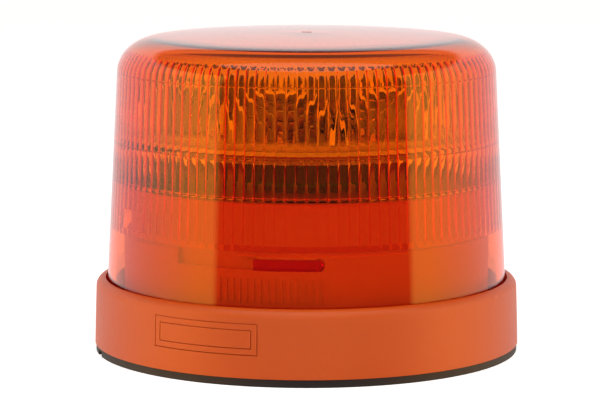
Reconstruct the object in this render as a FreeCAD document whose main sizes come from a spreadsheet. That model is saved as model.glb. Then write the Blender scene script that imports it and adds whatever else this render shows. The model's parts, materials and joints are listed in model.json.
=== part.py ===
import FreeCAD, Part
import math
import os
import re
import Sketcher

# Amber rotating beacon for a vehicle roof or a machine: rubber gasket, base moulding, geared
# motor, turntable with eight lit reflectors, and a fluted bayonet lens. Millimetres, +Z up,
# origin at the centre of the gasket's underside.

DOC = FreeCAD.newDocument("RotatingBeacon")
V = FreeCAD.Vector
UP = V(0, 0, 1)

# ---------------------------------------------------------------- driving dimensions

SIZES = {
    # base
    "base_radius": 83.4,
    "base_draft": 0.7,
    "skirt_height": 25.6,
    "skirt_rounding": 4.0,
    "skirt_wall": 2.8,
    "housing_wall": 2.5,
    "gasket_thickness": 3.0,
    "gasket_inset": 0.4,
    "gasket_width": 31.0,
    "notch_depth": 7.0,
    "notch_width": 5.0,
    "notch_place": 21.5,
    "plate_thickness": 2.5,
    "channel_height": 15.2,
    "seal_thickness": 2.8,
    "seal_clearance": 0.3,
    "collar_inset": 11.8,
    "collar_height": 44.5,
    "collar_step": 2.2,
    "drum_height": 63.0,
    "rim_height": 3.0,
    "edge_rounding": 0.8,
    # mounting on the vehicle
    "mount_inset": 18.4,
    "mount_count": 3,
    "mount_turn": 90.0,
    "mount_bore_radius": 3.3,
    "insert_radius": 4.6,
    "insert_length": 12.0,
    "insert_waist": 0.5,
    "boss_wall": 2.9,
    "plate_screw_inset": 8.8,
    "plate_screw_count": 6,
    "plate_post_radius": 3.6,
    "m3_radius": 1.5,
    "m3_head_radius": 2.8,
    "m3_head_height": 1.6,
    "m3_length": 9.0,
    "m2_radius": 1.0,
    "m2_head_radius": 1.9,
    "m2_head_height": 1.3,
    "m2_length": 5.0,
    # bayonet
    "bayonet_count": 3,
    "lug_rest_angle": -95.1,
    "lug_span": 20.0,
    "lug_turn": 26.0,
    "track_height": 4.8,
    "track_level": 38.7,
    "track_clearance": 0.3,
    "pad_rib_count": 16,
    "pad_rib_width": 0.9,
    "pad_rib_proud": 0.5,
    "pad_rib_height": 9.0,
    "pad_rib_pitch": 2.1,
    # bare label place on the skirt, a double outline
    "label_start": -133.0,
    "label_end": -102.5,
    "label_low": 11.5,
    "label_high": 23.5,
    "label_border": 2.4,
    "label_line": 0.35,
    "label_depth": 0.3,
    # lens
    "lens_inset": 4.7,
    "lens_draft": 4.6,
    "lens_height": 124.4,
    "lens_shoulder_width": 16.0,
    "lens_shoulder_drop": 14.6,
    "inner_shoulder_width": 10.0,
    "lens_crown": 0.8,
    "lens_wall": 3.0,
    "lens_clearance": 0.4,
    "flute_count": 120,
    "flute_depth": 0.6,
    "flute_bottom": 68.0,
    "flute_top": 114.0,
    "rib_depth": 0.25,
    "rib_bottom": 50.0,
    # bare approval plate inside the lens
    "plate_start": -158.0,
    "plate_end": -145.0,
    "plate_low": 47.0,
    "plate_high": 59.0,
    # fixed post and bearings
    "post_radius": 8.5,
    "post_bore": 4.5,
    "post_flange_radius": 16.0,
    "post_flange_thickness": 2.5,
    "post_spigot_radius": 10.0,
    "bearing_radius": 13.0,
    "bearing_width": 5.0,
    "bearing_lip_gap": 0.15,
    "race_wall": 1.8,
    "shield_inset": 0.3,
    "ring_thickness": 1.0,
    "fit_gap": 0.03,
    # rotor
    "hub_radius": 25.5,
    "hub_clearance": 5.0,
    "disc_level": 19.0,
    "disc_inset": 22.4,
    "disc_thickness": 2.4,
    "hub_spigot_radius": 16.0,
    "hub_spigot_height": 2.0,
    "hub_screw_circle": 20.5,
    "board_thickness": 1.6,
    "led_board_inner": 26.0,
    "led_board_margin": 4.0,
    "slip_board_thickness": 1.2,
    "track_thickness": 0.2,
    "track_width": 2.0,
    "inner_track_radius": 18.0,
    "outer_track_radius": 22.5,
    "brush_gap": 0.05,
    # reflectors
    "reflector_count": 8,
    "reflector_inset": 10.0,
    "reflector_gap": 1.7,
    "reflector_turn": -101.0,
    "dish_focus": 6.5,
    "dish_wall": 1.2,
    "dish_steps": 5,
    "dish_step_size": 0.5,
    "foot_length": 9.0,
    "foot_width": 10.0,
    "foot_thickness": 1.8,
    "led_size": 5.0,
    "led_height": 1.0,
    "led_dome_radius": 1.9,
    # gear train
    "gear_module": 0.8,
    "gear_inset": 13.0,
    "pinion_teeth": 15,
    "pressure_angle": 20.0,
    "gear_backlash": 0.16,
    "ring_gear_height": 4.0,
    "ring_gear_rim": 8.5,
    "pinion_height": 3.6,
    "gear_screw_count": 6,
    "gear_screw_inset": 5.2,
    "gear_screw_turn": 15.0,
    "post_screw_turn": 30.0,
    # motor
    "motor_width": 10.0,
    "motor_depth": 12.0,
    "can_length": 15.0,
    "gearbox_length": 9.0,
    "motor_rise": 11.0,
    "shaft_radius": 1.5,
    "shaft_gap": 0.05,
    "bracket_wall": 2.0,
    "bracket_height": 5.0,
    "bracket_ear": 5.5,
    "bracket_gap": 0.1,
    # electrics in the base
    "power_board_length": 74.0,
    "power_board_width": 52.0,
    "standoff_height": 6.0,
    "standoff_radius": 3.2,
    "standoff_inset": 5.0,
    "cable_radius": 3.4,
    "grommet_radius": 10.5,
    "grommet_seat_radius": 9.0,
    "capacitor_radius": 5.0,
    "capacitor_height": 16.0,
    "choke_radius": 8.0,
    "choke_bore": 3.6,
    "choke_height": 7.0,
    "chip_size": 7.0,
    "chip_height": 1.6,
    "terminal_length": 20.0,
    "terminal_width": 9.0,
    "terminal_height": 11.0,
    "terminal_ways": 4,
}


def fill_sheet():
    sheet = DOC.addObject("Spreadsheet::Sheet", "Sizes")
    for row, (alias, value) in enumerate(SIZES.items(), start=1):
        sheet.set(f"A{row}", alias.replace("_", " "))
        sheet.set(f"B{row}", str(value))
        sheet.setAlias(f"B{row}", alias)
    DOC.recompute()
    return sheet


SHEET = fill_sheet()
ALIASES = {alias: f"Sizes.{alias}" for alias in SIZES}

# radii that follow the base, so that the beacon grows and shrinks as one
FOLLOWING = {
    "lens_foot_radius": "(base_radius - lens_inset)",
    "lens_shoulder_radius": "(base_radius - lens_inset - lens_draft)",
    "collar_radius": "(base_radius - collar_inset)",
    "drum_radius": "(base_radius - collar_inset - collar_step)",
    "mount_circle_radius": "(base_radius - mount_inset)",
    "plate_screw_circle": "(base_radius - plate_screw_inset)",
    "disc_radius": "(base_radius - disc_inset)",
    "led_board_outer": "(disc_radius - led_board_margin)",
    "reflector_apothem": "(disc_radius - reflector_inset)",
    "dish_radius": "(reflector_apothem * tan(180 / reflector_count * 1 deg) - reflector_gap)",
    "ring_teeth": "(4 * round((disc_radius - gear_inset) / gear_module / 2))",
    "ring_pitch_radius": "(gear_module * ring_teeth / 2)",
    "ring_gear_inner": "(ring_pitch_radius - ring_gear_rim)",
    "gear_screw_circle": "(ring_pitch_radius - gear_screw_inset)",
}

# ---------------------------------------------------------------- levels and radii, in sheet words

PLATE_TOP = "(gasket_thickness + plate_thickness)"
SKIRT_TOP_RADIUS = "(base_radius - base_draft)"
SKIRT_TOP = "(gasket_thickness + skirt_height)"
SKIRT_INNER = "(base_radius - base_draft - skirt_wall)"
CHANNEL_OUTER = "(lens_foot_radius + lens_clearance)"
CHANNEL_FLOOR = "(gasket_thickness + channel_height)"
CHANNEL_UNDER = f"({CHANNEL_FLOOR} - housing_wall)"
LENS_FOOT = f"({CHANNEL_FLOOR} + seal_thickness)"
COLLAR_TOP = "(gasket_thickness + collar_height)"
RIM_TOP = "(gasket_thickness + drum_height)"
RIM_INNER = "(drum_radius - housing_wall)"
DECK_TOP = f"({RIM_TOP} - rim_height)"
DECK_UNDER = f"({DECK_TOP} - housing_wall)"
TRACK_BOTTOM = "(gasket_thickness + track_level)"
HUB_BOTTOM = f"({DECK_TOP} + hub_clearance)"
DISC_UNDER = f"({DECK_TOP} + disc_level)"
DISC_TOP = f"({DISC_UNDER} + disc_thickness)"
LED_BOARD_TOP = f"({DISC_TOP} + board_thickness)"
HUB_TOP = f"({DISC_TOP} + hub_spigot_height)"
LOWER_RACE = f"({HUB_BOTTOM} + ring_thickness)"
UPPER_RACE = f"({HUB_TOP} - bearing_width)"
GEAR_CENTRES = "(gear_module * (ring_teeth + pinion_teeth) / 2)"
MOTOR_TOP = f"({DECK_TOP} + motor_rise)"
CAN_TOP = f"({MOTOR_TOP} - gearbox_length)"
CAN_BOTTOM = f"({CAN_TOP} - can_length)"
POWER_BOARD_UNDER = f"({PLATE_TOP} + standoff_height)"
POWER_BOARD_TOP = f"({POWER_BOARD_UNDER} + board_thickness)"


def cells(text):
    """Sheet words turned into cell references that an expression can read."""
    def cell(found):
        word = found.group()
        return cells(FOLLOWING[word]) if word in FOLLOWING else ALIASES.get(word, word)
    return re.sub(r"(?<![.A-Za-z])[a-z][a-z0-9_]+", cell, str(text))


def size(text):
    """The number that an expression in sheet words gives now."""
    value = SHEET.evalExpression(cells(text))
    return float(getattr(value, "Value", value))


def bind(thing, path, text):
    thing.setExpression(path, cells(text))


# ---------------------------------------------------------------- drawing helpers


def new_body(label):
    body = DOC.addObject("PartDesign::Body", label)
    body.Label = label
    return body


def origin_plane(body, role):
    return next(feature for feature in body.Origin.OriginFeatures if feature.Role == role)


def new_sketch(body, name, role="XY_Plane", level=None):
    sketch = body.newObject("Sketcher::SketchObject", name)
    sketch.AttachmentSupport = [(origin_plane(body, role), "")]
    sketch.MapMode = "FlatFace"
    if level is not None:
        bind(sketch, "AttachmentOffset.Base.z", level)
    return sketch


def fix_coordinate(sketch, kind, geometry, position, text):
    """Holds one coordinate of a sketch point at the value of an expression."""
    value = size(text)
    if abs(value) < 1e-9:
        axis = -2 if kind == "DistanceX" else -1
        sketch.addConstraint(Sketcher.Constraint("PointOnObject", geometry, position, axis))
        return
    number = sketch.addConstraint(Sketcher.Constraint(kind, -1, 1, geometry, position, value))
    bind(sketch, f"Constraints[{number}]", text)


def draw_outline(sketch, corners):
    """Closed outline. A corner is (x, y) or (x, y, rounding radius), all in sheet words."""
    count = len(corners)
    spots = [V(size(corner[0]), size(corner[1]), 0) for corner in corners]
    rounds = [size(corner[2]) if len(corner) > 2 else 0.0 for corner in corners]
    entry, leave = [], []
    for i, spot in enumerate(spots):
        back = (spots[i - 1] - spot).normalize()
        ahead = (spots[(i + 1) % count] - spot).normalize()
        half = back.getAngle(ahead) / 2
        reach = rounds[i] / math.tan(half) if rounds[i] else 0.0
        entry.append(spot + back * reach)
        leave.append(spot + ahead * reach)
    lines = []
    for i in range(count):
        line = Part.LineSegment(leave[i], entry[(i + 1) % count])
        lines.append(sketch.addGeometry(line, False))
    for i in range(count):
        before, after = lines[i - 1], lines[i]
        if not rounds[i]:
            sketch.addConstraint(Sketcher.Constraint("Coincident", before, 2, after, 1))
            fix_coordinate(sketch, "DistanceX", after, 1, corners[i][0])
            fix_coordinate(sketch, "DistanceY", after, 1, corners[i][1])
            continue
        round_corner(sketch, before, after, spots[i], (entry[i], leave[i]), rounds[i], corners[i])


def round_corner(sketch, before, after, spot, ends, radius, corner):
    """Arc tangent to two lines, whose sharp corner stays as a construction point."""
    middle = (ends[0] + ends[1]) * 0.5
    centre = spot + (middle - spot).normalize() * math.hypot(radius, (ends[0] - spot).Length)
    nearest = centre + (spot - centre).normalize() * radius
    arc = sketch.addGeometry(Part.Arc(ends[0], nearest, ends[1]), False)
    flipped = sketch.Geometry[arc].StartPoint.distanceToPoint(ends[0]) > 1e-6
    first, last = (2, 1) if flipped else (1, 2)
    point = sketch.addGeometry(Part.Point(spot), True)
    sketch.addConstraint(Sketcher.Constraint("Tangent", before, 2, arc, first))
    sketch.addConstraint(Sketcher.Constraint("Tangent", arc, last, after, 1))
    sketch.addConstraint(Sketcher.Constraint("PointOnObject", point, 1, before))
    sketch.addConstraint(Sketcher.Constraint("PointOnObject", point, 1, after))
    fix_coordinate(sketch, "DistanceX", point, 1, corner[0])
    fix_coordinate(sketch, "DistanceY", point, 1, corner[1])
    number = sketch.addConstraint(Sketcher.Constraint("Radius", arc, radius))
    bind(sketch, f"Constraints[{number}]", corner[2])


def draw_circle(sketch, x, y, radius):
    circle = sketch.addGeometry(Part.Circle(V(size(x), size(y), 0), UP, size(radius)), False)
    fix_coordinate(sketch, "DistanceX", circle, 3, x)
    fix_coordinate(sketch, "DistanceY", circle, 3, y)
    number = sketch.addConstraint(Sketcher.Constraint("Radius", circle, size(radius)))
    bind(sketch, f"Constraints[{number}]", radius)


def rectangle(x_low, x_high, y_low, y_high):
    return [(x_low, y_low), (x_high, y_low), (x_high, y_high), (x_low, y_high)]


def on_circle(radius, degrees):
    """Sheet words for a place on a circle about Z."""
    return f"({radius} * cos({degrees} * 1 deg))", f"({radius} * sin({degrees} * 1 deg))"


def ring_places(radius, count, start=0.0):
    """Places of a ring of holes or pieces, in sheet words; count is a sheet word too."""
    return [
        on_circle(radius, f"({start} + {i} * 360 / {count})") for i in range(round(size(count)))
    ]


def pad(body, sketch, length, name="Pad"):
    feature = body.newObject("PartDesign::Pad", name)
    feature.Profile = sketch
    bind(feature, "Length", length)
    DOC.recompute()
    return feature


def pocket(body, sketch, length, reversed_side=True, name="Pocket"):
    """Pocket that must take material away; reversed_side cuts towards the sketch's +normal."""
    before = body.Shape.Volume
    feature = body.newObject("PartDesign::Pocket", name)
    feature.Profile = sketch
    feature.Reversed = reversed_side
    bind(feature, "Length", length)
    DOC.recompute()
    if not body.Shape.Volume < before:
        raise RuntimeError(f"{body.Label}: {name} cut nothing")
    return feature


def turned_body(label, corners):
    """Body turned about Z from a half outline in (radius, level)."""
    body = new_body(label)
    add_turned(body, "Profile", corners)
    return body


def add_turned(body, name, corners, groove=False):
    sketch = new_sketch(body, name, "XZ_Plane")
    draw_outline(sketch, corners)
    kind = "PartDesign::Groove" if groove else "PartDesign::Revolution"
    feature = body.newObject(kind, name + "Turn")
    feature.Profile = sketch
    feature.ReferenceAxis = (sketch, ["V_Axis"])
    feature.Angle = 360
    DOC.recompute()
    return feature


def drilled(body, places, radius, level, depth, name="Holes"):
    """Round holes from level upwards."""
    sketch = new_sketch(body, name + "Sketch", level=level)
    for x, y in places:
        draw_circle(sketch, x, y, radius)
    return pocket(body, sketch, depth, name=name)


def posts(body, places, radius, level, height, name="Posts"):
    sketch = new_sketch(body, name + "Sketch", level=level)
    for x, y in places:
        draw_circle(sketch, x, y, radius)
    return pad(body, sketch, height, name)


def shape_feature(label, shape):
    """Sub-part whose shape comes from Part's own functions."""
    feature = DOC.addObject("Part::Feature", label)
    feature.Label = label
    feature.Shape = shape
    feature.Placement = shape.Placement
    return feature


def turned_plain(points):
    """Solid turned about Z from a half outline of plain numbers."""
    spots = [V(x, 0, z) for x, z in points]
    return Part.Face(Part.makePolygon(spots + [spots[0]])).revolve(V(0, 0, 0), UP, 360)


def turned_solid(corners):
    """Solid turned about Z from a half outline in sheet words."""
    return turned_plain([(size(x), size(z)) for x, z in corners])


def copies(shape, places):
    """One compound of the same solid set at several places."""
    found = []
    for x, y in places:
        one = shape.copy()
        one.translate(V(size(x), size(y), 0))
        found.append(one)
    return Part.makeCompound(found)


def round_copies(shape, count, start=0.0):
    """One compound of the same solid turned about Z in even steps."""
    found = []
    for i in range(count):
        one = shape.copy()
        one.rotate(V(0, 0, 0), UP, start + i * 360.0 / count)
        found.append(one)
    return Part.makeCompound(found)


def screw(radius, head_radius, head_height, length, points_up=False):
    """Pan head screw with a cross recess; its head's seat is at z = 0, the shank goes down."""
    shank = Part.makeCylinder(radius, length, V(0, 0, -length), UP)
    head = Part.makeCylinder(head_radius, head_height)
    slot = Part.makeBox(head_radius * 1.2, radius * 0.4, head_height / 2)
    slot.translate(V(-head_radius * 0.6, -radius * 0.2, head_height / 2))
    cross = slot.copy()
    cross.rotate(V(0, 0, 0), UP, 90)
    made = head.fuse(shank).cut(slot).cut(cross).removeSplitter()
    if points_up:
        made.rotate(V(0, 0, 0), V(1, 0, 0), 180)
    return made


def m3_screw(points_up=False):
    return screw(size("m3_radius"), size("m3_head_radius"), size("m3_head_height"),
                 size("m3_length"), points_up)


def m2_screw(points_up=False):
    return screw(size("m2_radius"), size("m2_head_radius"), size("m2_head_height"),
                 size("m2_length"), points_up)


def at_level(shape, level):
    moved = shape.copy()
    moved.translate(V(0, 0, size(level)))
    return moved


MOUNT_PLACES = ring_places("mount_circle_radius", "mount_count", "mount_turn")
PLATE_SCREW_PLACES = ring_places("plate_screw_circle", "plate_screw_count")

# ---------------------------------------------------------------- base


def make_gasket():
    outer = "(base_radius - gasket_inset)"
    body = turned_body("base_gasket", rectangle(f"({outer} - gasket_width)", outer, "0", "gasket_thickness"))
    drilled(body, MOUNT_PLACES, "mount_bore_radius", "0", "gasket_thickness", "MountHoles")
    notch = new_sketch(body, "DrainNotch", level="0")
    draw_outline(notch, rectangle(f"(-{outer} - 1)", f"(-{outer} + notch_depth)",
                                  "(-notch_place - notch_width / 2)", "(-notch_place + notch_width / 2)"))
    pocket(body, notch, "gasket_thickness * 0.6", name="DrainCut")
    return body


def make_base_plate():
    edge = f"({SKIRT_INNER} - seal_clearance)"
    body = turned_body("base_plate", rectangle("grommet_seat_radius", edge, "gasket_thickness", PLATE_TOP))
    posts(body, STANDOFF_PLACES, "standoff_radius", PLATE_TOP, "standoff_height", "Standoffs")
    drilled(body, MOUNT_PLACES, "mount_bore_radius", "gasket_thickness", "plate_thickness", "MountHoles")
    drilled(body, PLATE_SCREW_PLACES, "(m3_radius + shaft_gap)", "gasket_thickness", "plate_thickness",
            "ScrewHoles")
    drilled(body, PLATE_SCREW_PLACES, "(m3_head_radius + bracket_gap)", "gasket_thickness",
            "m3_head_height", "HeadSeats")
    depth = "(standoff_height - 1)"
    drilled(body, STANDOFF_PLACES, "m2_radius", f"({POWER_BOARD_UNDER} - {depth})", depth, "BoardScrewHoles")
    return body


STANDOFF_PLACES = [
    (f"({along} * (power_board_length / 2 - standoff_inset))",
     f"({across} * (power_board_width / 2 - standoff_inset))")
    for along in (-1, 1)
    for across in (-1, 1)
]


def make_housing():
    """Skirt, lens channel, bayonet collar, drum and deck, in one moulding."""
    body = turned_body("base_housing", [
        ("base_radius", "gasket_thickness"),
        (SKIRT_TOP_RADIUS, SKIRT_TOP, "skirt_rounding * 0.85"),
        (CHANNEL_OUTER, SKIRT_TOP),
        (CHANNEL_OUTER, CHANNEL_FLOOR),
        ("collar_radius", CHANNEL_FLOOR),
        ("collar_radius", COLLAR_TOP, "edge_rounding"),
        ("drum_radius", COLLAR_TOP),
        ("drum_radius", RIM_TOP, "edge_rounding"),
        (RIM_INNER, RIM_TOP),
        (RIM_INNER, DECK_TOP),
        ("(post_spigot_radius + bracket_gap)", DECK_TOP),
        ("(post_spigot_radius + bracket_gap)", DECK_UNDER),
        (RIM_INNER, DECK_UNDER),
        (RIM_INNER, PLATE_TOP),
        ("drum_radius", PLATE_TOP),
        ("drum_radius", CHANNEL_UNDER),
        (SKIRT_INNER, CHANNEL_UNDER),
        (SKIRT_INNER, "gasket_thickness"),
    ])
    boss_height = f"({CHANNEL_UNDER} - {PLATE_TOP} + housing_wall / 2)"
    posts(body, MOUNT_PLACES, "(insert_radius + boss_wall)", PLATE_TOP, boss_height, "MountBosses")
    posts(body, PLATE_SCREW_PLACES, "plate_post_radius", PLATE_TOP, boss_height, "ScrewPosts")
    drilled(body, MOUNT_PLACES, "insert_radius", PLATE_TOP, "insert_length", "InsertHoles")
    screw_depth = "(m3_length - plate_thickness + m3_head_height + 1)"
    drilled(body, PLATE_SCREW_PLACES, "m3_radius", PLATE_TOP, screw_depth, "ScrewBores")
    motor_opening = new_sketch(body, "MotorOpeningSketch", level=DECK_UNDER)
    draw_outline(motor_opening, motor_outline("bracket_gap"))
    pocket(body, motor_opening, "housing_wall", name="MotorOpening")
    drilled(body, POST_SCREW_PLACES, "m3_radius", DECK_UNDER, "housing_wall", "PostScrewBores")
    drilled(body, BRACKET_SCREW_PLACES, "m2_radius", DECK_UNDER, "housing_wall", "BracketScrewBores")
    return body


def motor_outline(gap):
    """Rectangle round the upright motor, in sheet words."""
    half_x = f"(motor_width / 2 + {gap})"
    half_y = f"(motor_depth / 2 + {gap})"
    return rectangle(f"(-{GEAR_CENTRES} - {half_x})", f"(-{GEAR_CENTRES} + {half_x})", f"(-{half_y})", half_y)


POST_SCREW_CIRCLE = "((post_radius + post_flange_radius) / 2 + 1)"
POST_SCREW_PLACES = ring_places(POST_SCREW_CIRCLE, "mount_count", "post_screw_turn")
BRACKET_SCREW_PLACES = [
    (f"(-{GEAR_CENTRES})", f"({side} * (motor_depth / 2 + bracket_gap + bracket_wall + bracket_ear / 2))")
    for side in (-1, 1)
]


def arc_slab(inner, outer, start, end, low, height):
    """Piece of a ring between two angles, as a solid."""
    plate = Part.makeCylinder(outer, height, V(0, 0, low), UP, end - start)
    core = Part.makeCylinder(inner, height, V(0, 0, low), UP, end - start)
    slab = plate.cut(core)
    slab.rotate(V(0, 0, 0), UP, start)
    return slab


def rounded_slab(inner, outer, start, end, low, height):
    """Arc slab whose far end is a half round, seen from outside."""
    nose = math.degrees(height / 2 / outer)
    slab = arc_slab(inner, outer, start, end - nose, low, height)
    drum = Part.makeCylinder(height / 2, outer + height, V(0, 0, low + height / 2), V(1, 0, 0))
    drum.rotate(V(0, 0, 0), UP, end - nose)
    shell = arc_slab(inner, outer, end - 3 * nose, end + nose, low, height)
    return slab.fuse(shell.common(drum)).removeSplitter()


def bayonet_angles():
    """Lug start and end, and its turn, in degrees about Z, for the lug nearest the front."""
    start = size("lug_rest_angle") - size("lug_span") / 2
    return start, start + size("lug_span"), size("lug_turn")


def cut_bayonet(housing):
    """Entry notches and locking tracks cut in the collar, and the ribbed pads below them."""
    inner, outer = size("drum_radius"), size("collar_radius")
    start, end, turn = bayonet_angles()
    gap = math.degrees(size("track_clearance") / outer)
    low, height = size(TRACK_BOTTOM), size("track_height")
    rise = size(COLLAR_TOP) - low + 1
    notch = arc_slab(inner, outer + 1, start - turn - 2 * gap, end - turn + 2 * gap, low, rise)
    cutter = notch.fuse(rounded_slab(inner, outer + 1, start - turn, end + 2 * gap, low, height))
    rib_width = math.degrees(size("pad_rib_width") / outer)
    rib_height = size("pad_rib_height")
    rib_low = low - 2 * height / 3 - rib_height
    rib_reach = outer + size("pad_rib_proud")
    tools, pads = [], []
    for first in third_turns():
        placed = cutter.copy()
        placed.rotate(V(0, 0, 0), UP, first)
        tools.append(placed)
        for i in range(round(size("pad_rib_count"))):
            rib = arc_slab(inner, rib_reach, 0, rib_width, rib_low, rib_height)
            rib.rotate(V(0, 0, 0), UP, first + end - i * size("pad_rib_pitch"))
            pads.append(rib)
    return housing.Shape.cut(Part.makeCompound(tools)).fuse(pads)


def third_turns():
    """Turns in degrees that carry the front lug to each of the lugs."""
    count = round(size("bayonet_count"))
    return [360.0 / count * k for k in range(count)]


def cut_label_place(moulding):
    """Two fine grooved rectangles, one in the other, round a bare label place on the skirt."""
    line, border = size("label_line"), size("label_border")
    floor = size(SKIRT_TOP_RADIUS) - size("label_depth")
    reach = size("base_radius") + 1
    start, end = size("label_start"), size("label_end")
    low, high = size("label_low"), size("label_high")
    side = math.degrees(border / reach)
    outlines = [(start, end, low, high), (start + side, end - side, low + border, high - border)]
    for first, last, bottom, top in outlines:
        width = math.degrees(line / reach)
        height = top - bottom
        whole = arc_slab(floor, reach, first, last, bottom, height)
        middle = arc_slab(floor - 1, reach + 1, first + width, last - width, bottom + line, height - 2 * line)
        moulding = moulding.cut(whole.cut(middle))
    return moulding


def make_inserts():
    """Brass inserts with a waist that the moulding grips."""
    radius, length = size("insert_radius"), size("insert_length")
    ring = Part.makeCylinder(radius, length)
    bore = Part.makeCylinder(size("mount_bore_radius"), length)
    third = V(0, 0, length / 3)
    collar = Part.makeCylinder(radius + 1, length / 3, third)
    waist = Part.makeCylinder(radius - size("insert_waist"), length / 3, third)
    insert = ring.cut(bore).cut(collar.cut(waist))
    return shape_feature("mount_inserts", copies(at_level(insert, PLATE_TOP), MOUNT_PLACES))


def make_plate_screws():
    one = at_level(m3_screw(points_up=True), "(gasket_thickness + m3_head_height)")
    return shape_feature("plate_screws", copies(one, PLATE_SCREW_PLACES))


def make_grommet():
    return turned_body("cable_grommet", [
        ("cable_radius", "(gasket_thickness - 2)"),
        ("grommet_radius", "(gasket_thickness - 2)"),
        ("grommet_radius", "gasket_thickness"),
        ("(grommet_seat_radius - fit_gap)", "gasket_thickness"),
        ("(grommet_seat_radius - fit_gap)", PLATE_TOP),
        ("grommet_radius", PLATE_TOP),
        ("(cable_radius + 2)", f"({PLATE_TOP} + 5)"),
        ("cable_radius", f"({PLATE_TOP} + 5)"),
    ])


def make_seal():
    low = f"(collar_radius + pad_rib_proud + seal_clearance)"
    high = f"({CHANNEL_OUTER} - seal_clearance)"
    return turned_body("dome_seal", rectangle(low, high, CHANNEL_FLOOR, LENS_FOOT))


# ---------------------------------------------------------------- electrics in the base


def board_box(x_words, y_words, length, width, low, height, label):
    body = new_body(label)
    sketch = new_sketch(body, "Outline", level=low)
    half_x, half_y = f"({length}) / 2", f"({width}) / 2"
    draw_outline(sketch, rectangle(f"({x_words} - {half_x})", f"({x_words} + {half_x})",
                                   f"({y_words} - {half_y})", f"({y_words} + {half_y})"))
    pad(body, sketch, height)
    return body


def make_power_board():
    body = board_box("0", "0", "power_board_length", "power_board_width", POWER_BOARD_UNDER,
                     "board_thickness", "power_board")
    drilled(body, STANDOFF_PLACES, "(m2_radius + bracket_gap)", POWER_BOARD_UNDER, "board_thickness")
    drilled(body, [("0", "0")], "(grommet_seat_radius + 1)", POWER_BOARD_UNDER, "board_thickness",
            "CableHole")
    return body


def make_board_screws():
    one = at_level(m2_screw(), POWER_BOARD_TOP)
    return shape_feature("board_screws", copies(one, STANDOFF_PLACES))


def make_terminal_block():
    """Four way screw terminal beside the cable inlet, with wire entries facing it."""
    length, width = size("terminal_length"), size("terminal_width")
    height, ways = size("terminal_height"), round(size("terminal_ways"))
    block = Part.makeBox(width, length, height, V(0, -length / 2, 0))
    pitch = length / ways
    for i in range(ways):
        y = -length / 2 + (i + 0.5) * pitch
        well = Part.makeCylinder(pitch * 0.32, 2.0, V(width * 0.6, y, height - 2.0))
        entry = Part.makeBox(width * 0.5, pitch * 0.6, height * 0.35, V(0, y - pitch * 0.3, height * 0.12))
        block = block.cut(well).cut(entry)
    block.translate(V(size("grommet_seat_radius") + 4, 0, 0))
    return shape_feature("terminal_block", at_level(block, POWER_BOARD_TOP))


def make_capacitors():
    can = Part.makeCylinder(size("capacitor_radius"), size("capacitor_height"))
    can = can.makeChamfer(0.6, [edge for edge in can.Edges if edge.BoundBox.ZMin > 1 and edge.Closed])
    places = [("(-power_board_length / 4)", "(power_board_width / 4)"),
              ("(-power_board_length / 4)", "(-power_board_width / 4)")]
    return shape_feature("capacitors", copies(at_level(can, POWER_BOARD_TOP), places))


def make_choke():
    ring = Part.makeCylinder(size("choke_radius"), size("choke_height"))
    bore = Part.makeCylinder(size("choke_bore"), size("choke_height"))
    choke = ring.cut(bore)
    choke = choke.makeChamfer(1.2, [edge for edge in choke.Edges if edge.BoundBox.ZLength < 0.01])
    place = [("(power_board_length / 4 - 11)", "(power_board_width / 2 - choke_radius - 1)")]
    return shape_feature("choke", copies(at_level(choke, POWER_BOARD_TOP), place))


def make_chips():
    side, height = size("chip_size"), size("chip_height")
    chip = Part.makeBox(side, side, height, V(-side / 2, -side / 2, 0))
    chip = chip.makeChamfer(0.4, [edge for edge in chip.Edges if edge.BoundBox.ZMin > height / 2])
    places = [
        ("(-power_board_length / 4 - 9)", "0"),
        ("(power_board_length / 4)", "(-power_board_width / 4 - 3)"),
        ("(-4)", "(-power_board_width / 3)"),
    ]
    return shape_feature("driver_chips", copies(at_level(chip, POWER_BOARD_TOP), places))


# ---------------------------------------------------------------- fixed post, bearings, slip ring


def make_post():
    shoulder = "(post_radius + 1.5)"
    groove_low = f"({HUB_TOP} + fit_gap)"
    groove_high = f"({HUB_TOP} + ring_thickness + 0.1)"
    body = turned_body("center_post", [
        ("post_bore", f"({DECK_UNDER} - 2)"),
        ("post_spigot_radius", f"({DECK_UNDER} - 2)"),
        ("post_spigot_radius", DECK_TOP),
        ("post_flange_radius", DECK_TOP),
        ("post_flange_radius", f"({DECK_TOP} + post_flange_thickness)"),
        (shoulder, f"({DECK_TOP} + post_flange_thickness)"),
        (shoulder, LOWER_RACE),
        ("post_radius", LOWER_RACE),
        ("post_radius", groove_low),
        ("(post_radius - 0.6)", groove_low),
        ("(post_radius - 0.6)", groove_high),
        ("post_radius", groove_high),
        ("post_radius", f"({HUB_TOP} + 4)"),
        ("post_bore", f"({HUB_TOP} + 4)"),
    ])
    drilled(body, POST_SCREW_PLACES, "(m2_radius + bracket_gap)", DECK_TOP, "post_flange_thickness")
    return body


def make_post_screws():
    one = at_level(m2_screw(), f"({DECK_TOP} + post_flange_thickness)")
    return shape_feature("post_screws", copies(one, POST_SCREW_PLACES))


LIP_RADIUS = "(post_radius + race_wall)"
RACE_INNER = "(post_radius + fit_gap)"
RACE_OUTER = f"({LIP_RADIUS} - bearing_lip_gap)"


def inner_race_outline(low):
    return rectangle(RACE_INNER, RACE_OUTER, low, f"({low} + bearing_width)")


def outer_race_outline(low):
    """Outer race with its two rubber shields, which hide the balls."""
    race, outside = "(bearing_radius - race_wall)", "(bearing_radius - fit_gap)"
    high = f"({low} + bearing_width)"
    upper_shield, lower_shield = f"({high} - shield_inset)", f"({low} + shield_inset)"
    return [
        (outside, low), (outside, high), (race, high),
        (race, upper_shield), (LIP_RADIUS, upper_shield),
        (LIP_RADIUS, lower_shield), (race, lower_shield), (race, low),
    ]


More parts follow.
